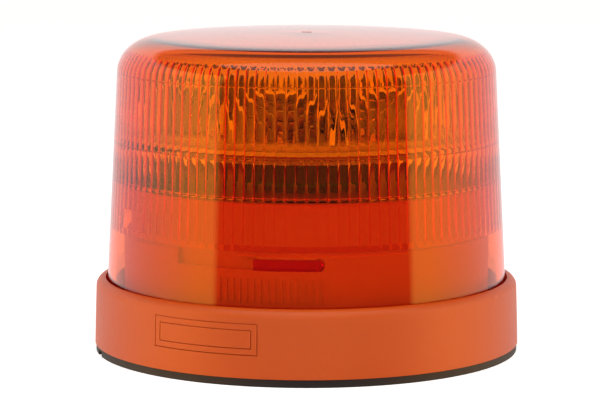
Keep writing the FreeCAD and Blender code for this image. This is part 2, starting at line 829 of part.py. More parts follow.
def make_races(label, outline):
    rings = [turned_solid(outline(low)) for low in (LOWER_RACE, UPPER_RACE)]
    return shape_feature(label, Part.makeCompound(rings))


def make_race_spacer():
    low = f"({LOWER_RACE} + bearing_width)"
    return turned_body("race_spacer", rectangle(RACE_INNER, RACE_OUTER, low, UPPER_RACE))


def make_retaining_ring():
    """Open snap ring in the post's groove."""
    low = f"({HUB_TOP} + fit_gap + 0.03)"
    outline = rectangle("(post_radius - 0.5)", "(post_radius + 2)", low, f"({low} + ring_thickness)")
    body = turned_body("retaining_ring", outline)
    mouth = new_sketch(body, "Mouth", level=low)
    draw_outline(mouth, rectangle("0", "(post_radius + 3)", "-2.2", "2.2"))
    pocket(body, mouth, "ring_thickness", name="MouthCut")
    return body


def make_brush_holder():
    """Block on the deck behind the post that guides the two brushes."""
    low = "(post_flange_radius + bracket_gap)"
    body = new_body("brush_holder")
    sketch = new_sketch(body, "Outline", level=DECK_TOP)
    draw_outline(sketch, rectangle("-4", "4", low, "(outer_track_radius + track_width + 1)"))
    pad(body, sketch, "(hub_clearance - slip_board_thickness - track_thickness - 1)")
    for name, radius in (("InnerWell", "inner_track_radius"), ("OuterWell", "outer_track_radius")):
        well = new_sketch(body, name + "Sketch", level=f"({DECK_TOP} + 1)")
        draw_outline(well, brush_outline(radius, "fit_gap"))
        pocket(body, well, "hub_clearance", name=name)
    return body


def brush_outline(radius, gap):
    half = f"(track_width / 2 - 0.1 + {gap})"
    return rectangle(f"(-{half} * 1.6)", f"({half} * 1.6)", f"({radius} - {half})", f"({radius} + {half})")


def make_brushes():
    track_under = f"({HUB_BOTTOM} - slip_board_thickness - track_thickness)"
    low = f"({DECK_TOP} + 1)"
    bars = []
    for radius in ("inner_track_radius", "outer_track_radius"):
        corners = brush_outline(radius, "0")
        spots = [V(size(x), size(y), size(low)) for x, y in corners]
        face = Part.Face(Part.makePolygon(spots + [spots[0]]))
        bars.append(face.extrude(V(0, 0, size(f"({track_under} - brush_gap - {low})"))))
    return shape_feature("brushes", Part.makeCompound(bars))


# ---------------------------------------------------------------- motor


def make_motor_can():
    """Small flat sided motor can standing through the deck, with its rear bearing boss."""
    radius = size("motor_depth") / 2
    can = Part.makeCylinder(radius, size("can_length"))
    flats = Part.makeBox(size("motor_width"), 2 * radius, size("can_length"))
    flats.translate(V(-size("motor_width") / 2, -radius, 0))
    can = can.common(flats)
    boss = Part.makeCylinder(radius / 3, 1.2, V(0, 0, -1.2))
    can = can.fuse(boss).removeSplitter()
    can.translate(V(-size(GEAR_CENTRES), 0, size(CAN_BOTTOM)))
    return shape_feature("motor_can", can)


def make_gearbox():
    """Two end plates and a spacer frame round the small reduction wheels."""
    body = new_body("motor_gearbox")
    sketch = new_sketch(body, "Outline", level=CAN_TOP)
    draw_outline(sketch, motor_outline("0"))
    pad(body, sketch, "gearbox_length")
    shaft_place = [(f"(-{GEAR_CENTRES})", "0")]
    drilled(body, shaft_place, "(shaft_radius + shaft_gap)", f"({MOTOR_TOP} - 4)", "4", "ShaftBore")
    return body


def make_bracket():
    body = new_body("motor_bracket")
    sketch = new_sketch(body, "Outline", level=DECK_TOP)
    outer_x = "(motor_width / 2 + bracket_gap + bracket_wall)"
    outer_y = "(motor_depth / 2 + bracket_gap + bracket_wall)"
    draw_outline(sketch, rectangle(f"(-{GEAR_CENTRES} - {outer_x})", f"(-{GEAR_CENTRES} + {outer_x})",
                                   f"(-{outer_y} - bracket_ear)", f"({outer_y} + bracket_ear)"))
    pad(body, sketch, "bracket_wall", "Foot")
    collar = new_sketch(body, "CollarOutline", level=DECK_TOP)
    draw_outline(collar, rectangle(f"(-{GEAR_CENTRES} - {outer_x})", f"(-{GEAR_CENTRES} + {outer_x})",
                                   f"(-{outer_y})", outer_y))
    pad(body, collar, "bracket_height", "Collar")
    hole = new_sketch(body, "MotorHoleSketch", level=DECK_TOP)
    draw_outline(hole, motor_outline("bracket_gap"))
    pocket(body, hole, "bracket_height", name="MotorHole")
    drilled(body, BRACKET_SCREW_PLACES, "(m2_radius + bracket_gap)", DECK_TOP, "bracket_wall", "EarHoles")
    return body


def make_bracket_screws():
    one = at_level(m2_screw(), f"({DECK_TOP} + bracket_wall)")
    return shape_feature("bracket_screws", copies(one, BRACKET_SCREW_PLACES))


# ---------------------------------------------------------------- gears


def involute(base_radius, radius):
    """Polar angle of the involute from base_radius, where it reaches radius."""
    tilt = math.acos(min(1.0, base_radius / radius))
    return math.tan(tilt) - tilt


def gear_face(teeth, phase):
    """Face of a spur gear with involute flanks; phase turns a tooth's middle from +X, in radians."""
    module = size("gear_module")
    pitch = module * teeth / 2
    base = pitch * math.cos(math.radians(size("pressure_angle")))
    tip, root = pitch + module * 0.95, pitch - module * 1.2
    half_tooth = math.pi / 2 / teeth - size("gear_backlash") / 4 / pitch + involute(base, pitch)
    start = max(base, root)
    radii = [start, pitch, tip]
    spots = []
    for i in range(teeth):
        middle = phase + 2 * math.pi * i / teeth
        flank = [(radius, half_tooth - involute(base, radius)) for radius in radii]
        rising = [(root, half_tooth)] + flank if root < base else flank
        for radius, half in rising:
            spots.append(V(radius * math.cos(middle - half), radius * math.sin(middle - half), 0))
        for radius, half in reversed(rising):
            spots.append(V(radius * math.cos(middle + half), radius * math.sin(middle + half), 0))
    return Part.Face(Part.makePolygon(spots + [spots[0]]))


def make_ring_gear():
    """Ring gear with its screw heads sunk in its underside."""
    height, gap = size("ring_gear_height"), size("bracket_gap")
    face = gear_face(round(size("ring_teeth")), 0.0)
    gear = face.extrude(V(0, 0, height)).cut(Part.makeCylinder(size("ring_gear_inner"), height))
    for x, y in GEAR_SCREW_PLACES:
        place = V(size(x), size(y), 0)
        gear = gear.cut(Part.makeCylinder(size("m2_radius") + gap, height, place))
        gear = gear.cut(Part.makeCylinder(size("m2_head_radius") + gap, size("m2_head_height"), place))
    return shape_feature("ring_gear", at_level(gear, f"({DISC_UNDER} - ring_gear_height)"))


GEAR_SCREW_PLACES = ring_places("gear_screw_circle", "gear_screw_count", "gear_screw_turn")


def make_pinion():
    """Pinion whose tooth gap faces the ring gear's tooth on the line of centres."""
    teeth = round(size("pinion_teeth"))
    height = size("pinion_height")
    ring_tooth_offset = (round(size("ring_teeth")) * 0.5) % 1.0
    phase = math.pi / teeth * (1.0 - 2.0 * ring_tooth_offset)
    pinion = gear_face(teeth, phase).extrude(V(0, 0, height))
    pinion = pinion.cut(Part.makeCylinder(size("shaft_radius"), height))
    pinion.translate(V(-size(GEAR_CENTRES), 0, size(f"({DISC_UNDER} - pinion_height - 0.5)")))
    return shape_feature("pinion", pinion)


def make_motor_shaft():
    low = f"({MOTOR_TOP} - 3)"
    high = f"({DISC_UNDER} - 0.8)"
    shaft = Part.makeCylinder(size("shaft_radius"), size(f"({high} - {low})"))
    shaft.translate(V(-size(GEAR_CENTRES), 0, size(low)))
    return shape_feature("motor_shaft", shaft)


def make_gear_screws():
    one = at_level(m2_screw(points_up=True), f"({DISC_UNDER} - ring_gear_height + m2_head_height)")
    return shape_feature("gear_screws", copies(one, GEAR_SCREW_PLACES))


# ---------------------------------------------------------------- turntable

HUB_SCREW_PLACES = ring_places("hub_screw_circle", "gear_screw_count")


def make_hub():
    seat = "bearing_radius"
    step = "(bearing_radius - 1.5)"
    body = turned_body("rotor_hub", [
        (seat, HUB_BOTTOM), ("hub_radius", HUB_BOTTOM), ("hub_radius", DISC_UNDER),
        ("hub_spigot_radius", DISC_UNDER), ("hub_spigot_radius", HUB_TOP), (seat, HUB_TOP),
        (seat, UPPER_RACE), (step, UPPER_RACE), (step, f"({LOWER_RACE} + bearing_width)"),
        (seat, f"({LOWER_RACE} + bearing_width)"),
    ])
    depth = "(m3_length - disc_thickness + 1)"
    drilled(body, HUB_SCREW_PLACES, "m3_radius", f"({DISC_UNDER} - {depth})", depth, "ScrewBores")
    return body


def make_disc():
    body = turned_body("turntable_disc", [
        ("(hub_spigot_radius + shaft_gap)", DISC_UNDER), ("(disc_radius - edge_rounding)", DISC_UNDER),
        ("disc_radius", f"({DISC_UNDER} + edge_rounding)"), ("disc_radius", DISC_TOP),
        ("(hub_spigot_radius + shaft_gap)", DISC_TOP),
    ])
    drilled(body, HUB_SCREW_PLACES, "(m3_radius + shaft_gap)", DISC_UNDER, "disc_thickness", "HubHoles")
    drilled(body, GEAR_SCREW_PLACES, "m2_radius", DISC_UNDER, "disc_thickness", "GearHoles")
    return body


def make_hub_screws():
    one = at_level(m3_screw(), DISC_TOP)
    return shape_feature("hub_screws", copies(one, HUB_SCREW_PLACES))


def make_slip_board():
    return turned_body("slip_ring_board", rectangle(
        "(bearing_radius + 1)", "(hub_radius - 0.5)", f"({HUB_BOTTOM} - slip_board_thickness)", HUB_BOTTOM))


def make_slip_tracks():
    under = f"({HUB_BOTTOM} - slip_board_thickness)"
    rings = [
        turned_solid(rectangle(f"({radius} - track_width / 2)", f"({radius} + track_width / 2)",
                               f"({under} - track_thickness)", under))
        for radius in ("inner_track_radius", "outer_track_radius")
    ]
    return shape_feature("slip_ring_tracks", Part.makeCompound(rings))


def make_led_board():
    body = turned_body("led_board", rectangle("led_board_inner", "led_board_outer", DISC_TOP, LED_BOARD_TOP))
    depth = "(board_thickness)"
    drilled(body, REFLECTOR_SCREW_PLACES, "m2_radius", DISC_TOP, depth, "FootHoles")
    return body


def dish_depth():
    return size("dish_radius") ** 2 / 4 / size("dish_focus")


def dish_profile(offset):
    """Half section of the stepped dish: (place along its axis, radius), from the mouth inwards."""
    mouth = size("reflector_apothem")
    vertex = mouth - dish_depth()
    steps = round(size("dish_steps"))
    spots = []
    for k in range(steps, 0, -1):
        shift = size("dish_step_size") * (steps - k) if offset == 0 else 0.0
        outer = size("dish_radius") * k / steps
        inner = size("dish_radius") * (k - 1) / steps
        for radius in (outer, inner):
            along = vertex + radius ** 2 / 4 / size("dish_focus") + shift
            spots.append((along - offset, radius + offset if radius > 0 else 0.0))
    return spots


def dish_solid(spots, mouth):
    """Half dish of revolution about a level line through the LED, open towards +X."""
    outline = [V(mouth, 0, 0), V(mouth, 0, spots[0][1])]
    outline += [V(along, 0, radius) for along, radius in spots]
    kept = [outline[0]]
    for spot in outline[1:]:
        if spot.distanceToPoint(kept[-1]) > 1e-6:
            kept.append(spot)
    face = Part.Face(Part.makePolygon(kept + [kept[0]]))
    turned = face.revolve(V(0, 0, 0), V(1, 0, 0), 360)
    span = 4 * spots[0][1]
    upper = Part.makeBox(2 * mouth + span, span, span, V(-mouth, -span / 2, 0))
    return turned.common(upper)


def make_reflectors():
    """Eight stepped half dishes that throw each LED's light level, each with a screw foot."""
    mouth = size("reflector_apothem")
    wall = size("dish_wall")
    inside = dish_solid(dish_profile(0), mouth + 1)
    outside = dish_solid(outer_dish_profile(), mouth)
    foot_end = dish_back()
    width = size("foot_width")
    foot = Part.makeBox(size("foot_length") + wall, width, size("foot_thickness"),
                        V(foot_end - size("foot_length"), -width / 2, 0))
    dish = outside.fuse(foot).cut(inside)
    hole = Part.makeCylinder(size("m2_radius") + size("bracket_gap"), size("foot_thickness"),
                             V(foot_end - size("foot_length") / 2 - wall, 0, 0))
    dish = dish.cut(hole).removeSplitter()
    solid = max(dish.Solids, key=lambda one: one.Volume)
    placed = at_level(solid, LED_BOARD_TOP)
    count = round(size("reflector_count"))
    return shape_feature("reflectors", round_copies(placed, count, size("reflector_turn")))


def dish_back():
    """Where the back of the dish meets its foot."""
    return size("reflector_apothem") - dish_depth()


def outer_dish_profile():
    """Plain outside of the dish: a few cones that follow the parabola one wall out."""
    mouth, wall = size("reflector_apothem"), size("dish_wall")
    vertex = mouth - dish_depth()
    spots = []
    for share in (1.0, 0.85, 0.65, 0.4):
        radius = size("dish_radius") * share
        along = vertex + radius ** 2 / 4 / size("dish_focus")
        back = 0.0 if share == 1.0 else wall * (1.2 - share / 2)
        spots.append((along - back, radius + wall * min(1.0, 2 * share)))
    return spots + [(vertex - 1.2 * wall, 0.0)]


REFLECTOR_SCREW_RADIUS = (
    "(reflector_apothem - dish_radius * dish_radius / 4 / dish_focus - foot_length / 2 - dish_wall)"
)
REFLECTOR_SCREW_PLACES = ring_places(REFLECTOR_SCREW_RADIUS, "reflector_count", "reflector_turn")


def make_reflector_screws():
    one = at_level(m2_screw(), f"({LED_BOARD_TOP} + foot_thickness)")
    length_over = size("m2_length") - size("foot_thickness") - size("board_thickness")
    if length_over > 0:
        keep = Part.makeCylinder(5, 20, V(0, 0, size(DISC_TOP)))
        one = one.common(keep)
    return shape_feature("reflector_screws", copies(one, REFLECTOR_SCREW_PLACES))


def make_leds():
    side, height = size("led_size"), size("led_height")
    package = Part.makeBox(side, side, height, V(-side / 2, -side / 2, 0))
    dome = Part.makeSphere(size("led_dome_radius"), V(0, 0, height), UP, 0, 90, 360)
    led = package.fuse(dome)
    led.translate(V(size("reflector_apothem") - dish_depth() + size("dish_focus"), 0, size(LED_BOARD_TOP)))
    count = round(size("reflector_count"))
    return shape_feature("leds", round_copies(led, count, size("reflector_turn")))


# ---------------------------------------------------------------- lens


def lens_radius(level):
    """Outer radius of the lens's drafted side."""
    foot, shoulder = size(LENS_FOOT), size("lens_height - lens_shoulder_drop - lens_crown")
    share = (level - foot) / (shoulder - foot)
    return size("lens_foot_radius") + share * (size("lens_shoulder_radius") - size("lens_foot_radius"))


def shoulder_arcs(radius, level, width, drop):
    """Two tangent-looking arcs from the side at (radius, level) over to the flat of the roof."""
    def spot(degrees):
        angle = math.radians(degrees)
        return V(radius - width + width * math.cos(angle), 0, level + drop * math.sin(angle))
    return [
        Part.Arc(spot(0), spot(22), spot(45)).toShape(),
        Part.Arc(spot(45), spot(66), spot(90)).toShape(),
    ]


def crown_arc(reach, top, rise):
    """Arc from (reach, top - rise) up to the axis, part of a great sphere centred on it."""
    radius = (reach ** 2 + rise ** 2) / 2 / rise
    half = math.asin(reach / radius)
    middle = V(radius * math.sin(half / 2), 0, top - radius + radius * math.cos(half / 2))
    return Part.Edge(Part.Arc(V(reach, 0, top - rise), middle, V(0, 0, top)))


def lens_outside():
    foot = size(LENS_FOOT)
    level = size("lens_height - lens_shoulder_drop - lens_crown")
    radius = size("lens_shoulder_radius")
    top = size("lens_height")
    arcs = shoulder_arcs(radius, level, size("lens_shoulder_width"), size("lens_shoulder_drop"))
    flat = radius - size("lens_shoulder_width")
    crown = crown_arc(flat, top, size("lens_crown"))
    edges = [Part.makeLine(V(0, 0, foot), V(size("lens_foot_radius"), 0, foot)),
             Part.makeLine(V(size("lens_foot_radius"), 0, foot), V(radius, 0, level))]
    edges += arcs + [crown, Part.makeLine(V(0, 0, top), V(0, 0, foot))]
    return Part.Face(Part.Wire(edges)).revolve(V(0, 0, 0), UP, 360)


def flute_outline(level, depth):
    """Closed outline of the fluted bore: each flute bulges towards the axis between two sharp grooves."""
    count = round(size("flute_count"))
    groove_radius = lens_radius(level) - size("lens_wall")
    facets = 4
    spots = []
    for i in range(count):
        for j in range(facets):
            angle = 2 * math.pi * (i + j / facets) / count
            radius = groove_radius - depth * math.sin(math.pi * j / facets)
            spots.append(V(radius * math.cos(angle), radius * math.sin(angle), level))
    return Part.makePolygon(spots + [spots[0]])


def lens_inside():
    """Hollow of the lens: plain bore, shallow ribs, deeper flutes, then the rounded roof."""
    wall = size("lens_wall")
    foot, ribs, low, high = size(LENS_FOOT), size("rib_bottom"), size("flute_bottom"), size("flute_top")
    low_bore, high_bore = lens_radius(foot) - wall, lens_radius(ribs) - wall
    below = turned_plain([(0, foot - 1), (low_bore, foot - 1), (high_bore, ribs), (0, ribs)])
    fluted = [
        Part.makeLoft([flute_outline(bottom, depth), flute_outline(top, depth)], True, True)
        for bottom, top, depth in ((ribs, low, size("rib_depth")), (low, high, size("flute_depth")))
    ]
    crest = lens_radius(high) - wall - size("flute_depth") - 0.1
    roof = size("lens_height") - size("lens_crown") - wall
    width = size("inner_shoulder_width")
    arcs = shoulder_arcs(crest, high, width, roof - high)
    edges = [Part.makeLine(V(0, 0, high), V(crest, 0, high))] + arcs
    edges.append(Part.makeLine(V(crest - width, 0, roof), V(0, 0, roof)))
    edges.append(Part.makeLine(V(0, 0, roof), V(0, 0, high)))
    above = Part.Face(Part.Wire(edges)).revolve(V(0, 0, 0), UP, 360)
    return [below, *fluted, above]


def make_lens():
    """Amber dome: drafted side, rounded shoulder, flutes inside and three bayonet lugs."""
    lens = lens_outside()
    for hollow in lens_inside():
        lens = lens.cut(hollow)
    clearance = size("track_clearance")
    start, end, _ = bayonet_angles()
    low = size(TRACK_BOTTOM) + clearance
    height = size("track_height") - 2 * clearance
    bond = 1.0
    lug = rounded_slab(size("drum_radius") + clearance, lens_radius(low) - size("lens_wall") + bond,
                       start, end, low, height)
    for first in third_turns():
        one = lug.copy()
        one.rotate(V(0, 0, 0), UP, first)
        lens = lens.fuse(one)
    bottom, top = size("plate_low"), size("plate_high")
    plate = arc_slab(lens_radius(top) - size("lens_wall") - size("flute_depth"),
                     lens_radius(top) - size("lens_wall") + bond,
                     size("plate_start"), size("plate_end"), bottom, top - bottom)
    return shape_feature("dome_lens", lens.fuse(plate))


# ---------------------------------------------------------------- build


def make_all():
    """Every sub-part by node name; each value is the object whose shape is written."""
    made = [make_gasket(), make_base_plate(), make_inserts(), make_plate_screws(), make_grommet(),
            make_seal(), make_power_board(), make_board_screws(), make_terminal_block(),
            make_capacitors(), make_choke(), make_chips(), make_post(), make_post_screws(),
            make_races("bearing_inner_races", inner_race_outline), make_race_spacer(),
            make_retaining_ring(), make_brush_holder(), make_brushes(), make_motor_can(),
            make_gearbox(), make_bracket(), make_bracket_screws(), make_motor_shaft(),
            make_pinion(), make_ring_gear(), make_gear_screws(), make_hub(),
            make_races("bearing_outer_races", outer_race_outline), make_disc(), make_hub_screws(),
            make_slip_board(), make_slip_tracks(), make_led_board(), make_leds(),
            make_reflectors(), make_reflector_screws(), make_lens()]
    moulding = make_housing()
    moulding.Label = "base_housing_moulding"
    finished = shape_feature("base_housing", cut_label_place(cut_bayonet(moulding)))
    return made + [finished], moulding


def check(objects):
    bad = [one.Label for one in DOC.Objects if {"Invalid", "Error"} & set(one.State)]
    bad += [one.Label for one in objects if one.Shape.isNull() or not one.Shape.isValid()]
    if bad:
        raise RuntimeError(f"failed: {sorted(set(bad))}")


def main():
    objects, moulding = make_all()
    DOC.recompute()
    check(objects + [moulding])
    os.makedirs("parts", exist_ok=True)
    for one in objects:
        one.Shape.exportStep(os.path.join("parts", f"{one.Label}.step"))
        print(one.Label, len(one.Shape.Solids), round(one.Shape.Volume / 1000, 3))


main()
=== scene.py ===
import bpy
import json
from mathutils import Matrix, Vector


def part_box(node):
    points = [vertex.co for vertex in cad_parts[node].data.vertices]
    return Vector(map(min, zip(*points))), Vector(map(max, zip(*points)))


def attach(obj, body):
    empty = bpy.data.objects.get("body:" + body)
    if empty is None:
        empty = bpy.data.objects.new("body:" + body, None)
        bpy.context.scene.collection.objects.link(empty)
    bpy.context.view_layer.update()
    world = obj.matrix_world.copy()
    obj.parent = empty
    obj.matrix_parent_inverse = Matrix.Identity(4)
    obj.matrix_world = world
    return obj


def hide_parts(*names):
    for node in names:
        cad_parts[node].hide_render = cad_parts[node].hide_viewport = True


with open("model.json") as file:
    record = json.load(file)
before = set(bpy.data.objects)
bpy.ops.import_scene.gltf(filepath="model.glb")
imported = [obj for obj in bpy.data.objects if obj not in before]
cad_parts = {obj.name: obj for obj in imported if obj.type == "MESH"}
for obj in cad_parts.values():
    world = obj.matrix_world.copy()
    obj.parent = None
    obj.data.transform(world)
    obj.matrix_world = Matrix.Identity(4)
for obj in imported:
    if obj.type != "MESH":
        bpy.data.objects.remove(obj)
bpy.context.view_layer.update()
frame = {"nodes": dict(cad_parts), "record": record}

import json
import math

import bmesh
import bpy
from bpy.props import FloatProperty, FloatVectorProperty, IntProperty, PointerProperty
from mathutils import Vector

bl_info = {
    "name": "Rotating beacon dresser",
    "version": (1, 0, 0),
    "blender": (4, 5, 0),
    "location": "View3D > Sidebar > Beacon",
    "description": "Builds the lens, the finishes and the studio of an amber rotating beacon",
    "category": "Object",
}

MM = 0.001

# ---------------------------------------------------------------- places read from the frame

LENS_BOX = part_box("dome_lens")
LENS_FOOT, LENS_TOP = LENS_BOX[0][2], LENS_BOX[1][2]
FOOT_RADIUS = LENS_BOX[1][0]
DISC_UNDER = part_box("turntable_disc")[0][2]

# ---------------------------------------------------------------- small features of the lens

SOFT_EDGE = 28.0                # bends of the lens below this many degrees are shaded smooth
COLUMNS = 8                     # columns of points across one flute
SIDE_RINGS = 3                  # steps of the drafted side, the shoulder and the roof outside
SHOULDER_RINGS = 16
ROOF_RINGS = 7
INNER_SHOULDER_RINGS = 20
INNER_ROOF_SHARES = (0.85, 0.7, 0.55, 0.4, 0.25, 0.1)  # rings of the hollow's roof, from its edge in
INNERMOST = 2 * MM              # last ring of the hollow's roof
RING_GAP = 0.2 * MM             # rings this close to a bend keep it out of the long faces beside it
RIB_RUN = 1 * MM                # the ribs start over twice this height
FLUTE_RUN = 0.6 * MM            # height over which a rib deepens into a flute
FLUTE_FADE = 0.06               # lean, in radians, over which a flute runs out under the shoulder
LIP = ((0.1 * MM, 1), (0.5 * MM, 1), (0.9 * MM, 0), (1.1 * MM, 0))  # height in it, share of its depth
LINE_DEPTH = 0.12 * MM          # how far a joint line of the mould stands out
LOWER_LINE = DISC_UNDER + 0.7 * MM
GATE = ((2.2 * MM, 0.0), (1.9 * MM, 0.35 * MM), (1.3 * MM, 0.35 * MM), (1.0 * MM, 0.0))  # radius, depth
LUG_COUNT = 3
LUG_TURNS = (-105.1, -85.1)     # degrees from the x axis
LUG_LEVELS = (42.0 * MM, 46.2 * MM)
LUG_NOSE = 2.1 * MM             # radius of a lug's rounded end
LUG_RADIUS = 69.7 * MM
LUG_STEPS = 6                   # steps that draw the rounded end
PLATE_TURNS = (-158, -145)
PLATE_LEVELS = (51.5 * MM, 59 * MM)
PLATE_DEPTH = 0.6 * MM
BLOCK_EDGE = 0.05 * MM          # height of the step at a lug's or the plate's upper and lower side
BLOCK_SIDE = 0.02               # width of the step at its ends, in columns
LEVEL_SLACK = 1e-7              # levels this close count as the same

# ---------------------------------------------------------------- studio

FOCAL_LENGTH = 169.284          # millimetres, on a sensor 36 mm wide
SENSOR_WIDTH = 36.0
CAMERA_SHIFT = -0.0115
CAMERA_DIP = 0.139              # radians that the camera looks down
CAMERA_ROLL = -0.001
VIEW_END = 20

FLOOR_HALF = 6.0
FLOOR_LEVEL = -0.1 * MM         # just clear of the base's underside
FLOOR_GLOW = 0.56               # what the lit floor lacks to be as white as the room behind it

# the tent: white, open towards the camera, with warm light from its sides
OPENING_TURN = math.radians(4.5)
OPENING_HALF = math.radians(57.5)
OPENING_EDGE = 0.03             # half the softness of the opening's edge, as a cosine
BACK_FADE = (0.35, -0.6)        # cosines from the opening's middle, where the sides turn into the back
ROOF_FADE = (0.50, 0.56)        # sines of the height, where the walls turn into the roof
SIDE_LIGHT = (3.0, 1.6, 0.28, 1)
SIDE_LEVEL = 1.0
BACK_LEVEL = 0.95
FRONT_LEVEL = 0.05
ROOF_LEVEL = 0.15
PANEL_LEVEL = 1.0               # a lit panel overhead, on the camera's side
PANEL_HEIGHT = (0.83, 0.85)     # sines of the height at its outer edge
PANEL_REACH = (0.05, 0.02)      # how far behind the axis it ends, as a share of the way there
PANEL_THROUGH = 0.1             # share of the panel that is seen through the lens
THROUGH_GAIN = 1.2              # the tent seen through the lens against the tent seen in gloss

LAMP_TARGET = (0, 0, 0.07)
SOFT_BOXES = (  # name, place, size, watts, whether it is aimed at the beacon or hangs flat
    ("soft_box_left", (-1.3, -0.55, 0.55), (0.7, 1.2), 4, True),
    ("soft_box_right", (1.3, -0.55, 0.55), (0.7, 1.2), 4, True),
    ("front_fill", (0, -1.5, 0.7), (1.0, 1.0), 7, True),
    ("soft_box_overhead", (0, -0.4, 1.2), (2.0, 0.8), 6, False),
)


# ---------------------------------------------------------------- colour and node helpers


def linear(code, alpha=1.0):
    """sRGB hex code to the linear colour that Blender's sockets take."""
    parts = [int(code[i:i + 2], 16) / 255 for i in (1, 3, 5)]
    turned = [p / 12.92 if p <= 0.04045 else ((p + 0.055) / 1.055) ** 2.4 for p in parts]
    return (*turned, alpha)


def add_node(tree, kind, settings=None, **links):
    """One shader node.

    settings are its own properties. links are sockets or plain values by the input's name, or by its
    number as in i0 where several inputs share a name.
    """
    made = tree.nodes.new(kind)
    for name, value in (settings or {}).items():
        setattr(made, name, value)
    for name, value in links.items():
        key = int(name[1:]) if name[0] == "i" and name[1:].isdigit() else name.replace("_", " ")
        socket = made.inputs[key]
        if isinstance(value, bpy.types.NodeSocket):
            tree.links.new(value, socket)
        else:
            socket.default_value = value
    return made


def new_material(name):
    """Empty material with its tree and its main shader."""
    material = bpy.data.materials.new(name)
    material.use_nodes = True
    return material, material.node_tree, material.node_tree.nodes["Principled BSDF"]


def grain(tree, size_mm, detail=2.0, roughness=0.5, stretch=(1, 1, 1)):
    """Noise in the part's own metres: blobs about size_mm across, divided by stretch along each axis."""
    spot = add_node(tree, "ShaderNodeTexCoord")
    mapped = add_node(tree, "ShaderNodeMapping", None, Vector=spot.outputs["Object"], Scale=stretch)
    noise = add_node(tree, "ShaderNodeTexNoise", None, Vector=mapped.outputs["Vector"],
                     Scale=1 / (size_mm * MM), Detail=detail, Roughness=roughness)
    return noise.outputs["Fac"]


def skin(tree, shader, tones=None, gloss=None, relief=None, **constants):
    """What the surface shows: patterns lead its colour, its roughness and its relief.

    tones is (pattern, first colour, second colour), gloss is (pattern, least, most roughness) and
    relief is (pattern, depth in millimetres, strength). What is the same all over is set on the
    shader's own sockets.
    """
    if tones:
        pattern, first, second = tones
        mixed = add_node(tree, "ShaderNodeMix", {"data_type": "RGBA"}, i0=pattern, i6=first, i7=second)
        tree.links.new(mixed.outputs[2], shader.inputs["Base Color"])
    if gloss:
        pattern, least, most = gloss
        ranged = add_node(tree, "ShaderNodeMapRange", None, Value=pattern, To_Min=least, To_Max=most)
        tree.links.new(ranged.outputs["Result"], shader.inputs["Roughness"])
    if relief:
        pattern, depth_mm, strength = relief
        raised = add_node(tree, "ShaderNodeBump", None, Height=pattern, Distance=depth_mm * MM,
                          Strength=strength)
        tree.links.new(raised.outputs["Normal"], shader.inputs["Normal"])
    for name, value in constants.items():
        shader.inputs[name.replace("_", " ")].default_value = value


# ---------------------------------------------------------------- finishes


def textured_abs(name, colour, dark):
    """ABS, moulded against a spark eroded tool: satin, with a fine even grain."""
    material, tree, shader = new_material(name)
    # the real grain is about 0.05 mm and is drawn at 0.35 mm so that it shows
    skin(tree, shader, tones=(grain(tree, 22.0, 3.0), (*dark, 1), (*colour, 1)),
         gloss=(grain(tree, 3.0), 0.40, 0.50), relief=(grain(tree, 0.35, 1.0), 0.012, 0.5),
         IOR=1.53, Subsurface_Weight=0.06, Subsurface_Scale=0.004, Subsurface_Radius=(1.0, 0.35, 0.1))
    return material


def rubber(name, code, dark):
    """Moulded rubber: matt, with a dusty bloom in patches 5 mm across."""
    material, tree, shader = new_material(name)
    patches = grain(tree, 5.0, 4.0, 0.65)
    skin(tree, shader, tones=(patches, linear(dark), linear(code)), gloss=(patches, 0.55, 0.75),
         relief=(grain(tree, 0.6, 2.0), 0.02, 0.6), IOR=1.52)
    return material


def moulded(name, code, dark, rough=0.38, ior=1.54, grain_mm=0.5):
    """Engineering plastic, injection moulded: faint flow marks 9 mm across over a fine texture."""
    material, tree, shader = new_material(name)
    flow = grain(tree, 9.0, 3.0, 0.6, (1, 1, 0.4))
    skin(tree, shader, tones=(flow, linear(dark), linear(code)), gloss=(flow, rough - 0.05, rough + 0.07),
         relief=(grain(tree, grain_mm, 1.0), 0.01, 0.5), IOR=ior)
    return material


def metal(name, code, dark, rough, grain_mm=0.4, stretch=(1, 1, 1)):
    """Bare or plated metal: the stretched grain is the lay of its machining or rolling.

    The real lay is 0.02 to 0.1 mm and is drawn several times as coarse, so that it shows.
    """
    material, tree, shader = new_material(name)
    lay = grain(tree, grain_mm, 3.0, 0.6, stretch)
    skin(tree, shader, tones=(grain(tree, 6.0, 2.0), linear(dark), linear(code)),
         gloss=(lay, rough - 0.08, rough + 0.08), relief=(lay, 0.004, 0.4), Metallic=1.0)
    return material


def circuit_board(name, code, dark, copper):
    """Board under solder resist: glossy, and its copper runs show as paler, slightly raised bands."""
    material, tree, shader = new_material(name)
    # runs about 1.5 mm wide, round islands of 9 mm
    spot = add_node(tree, "ShaderNodeTexCoord")
    islands = add_node(tree, "ShaderNodeTexVoronoi", {"feature": "DISTANCE_TO_EDGE"},
                       Vector=spot.outputs["Object"], Scale=1 / (9 * MM))
    runs = add_node(tree, "ShaderNodeMath", {"operation": "LESS_THAN"}, i0=islands.outputs["Distance"],
                    i1=0.08).outputs["Value"]
    ground = add_node(tree, "ShaderNodeMix", {"data_type": "RGBA"}, i0=grain(tree, 12.0),
                      i6=linear(dark), i7=linear(code)).outputs[2]
    skin(tree, shader, tones=(runs, ground, linear(copper)), gloss=(grain(tree, 2.0), 0.22, 0.32),
         relief=(runs, 0.03, 0.5), IOR=1.5, Coat_Weight=0.3)
    return material


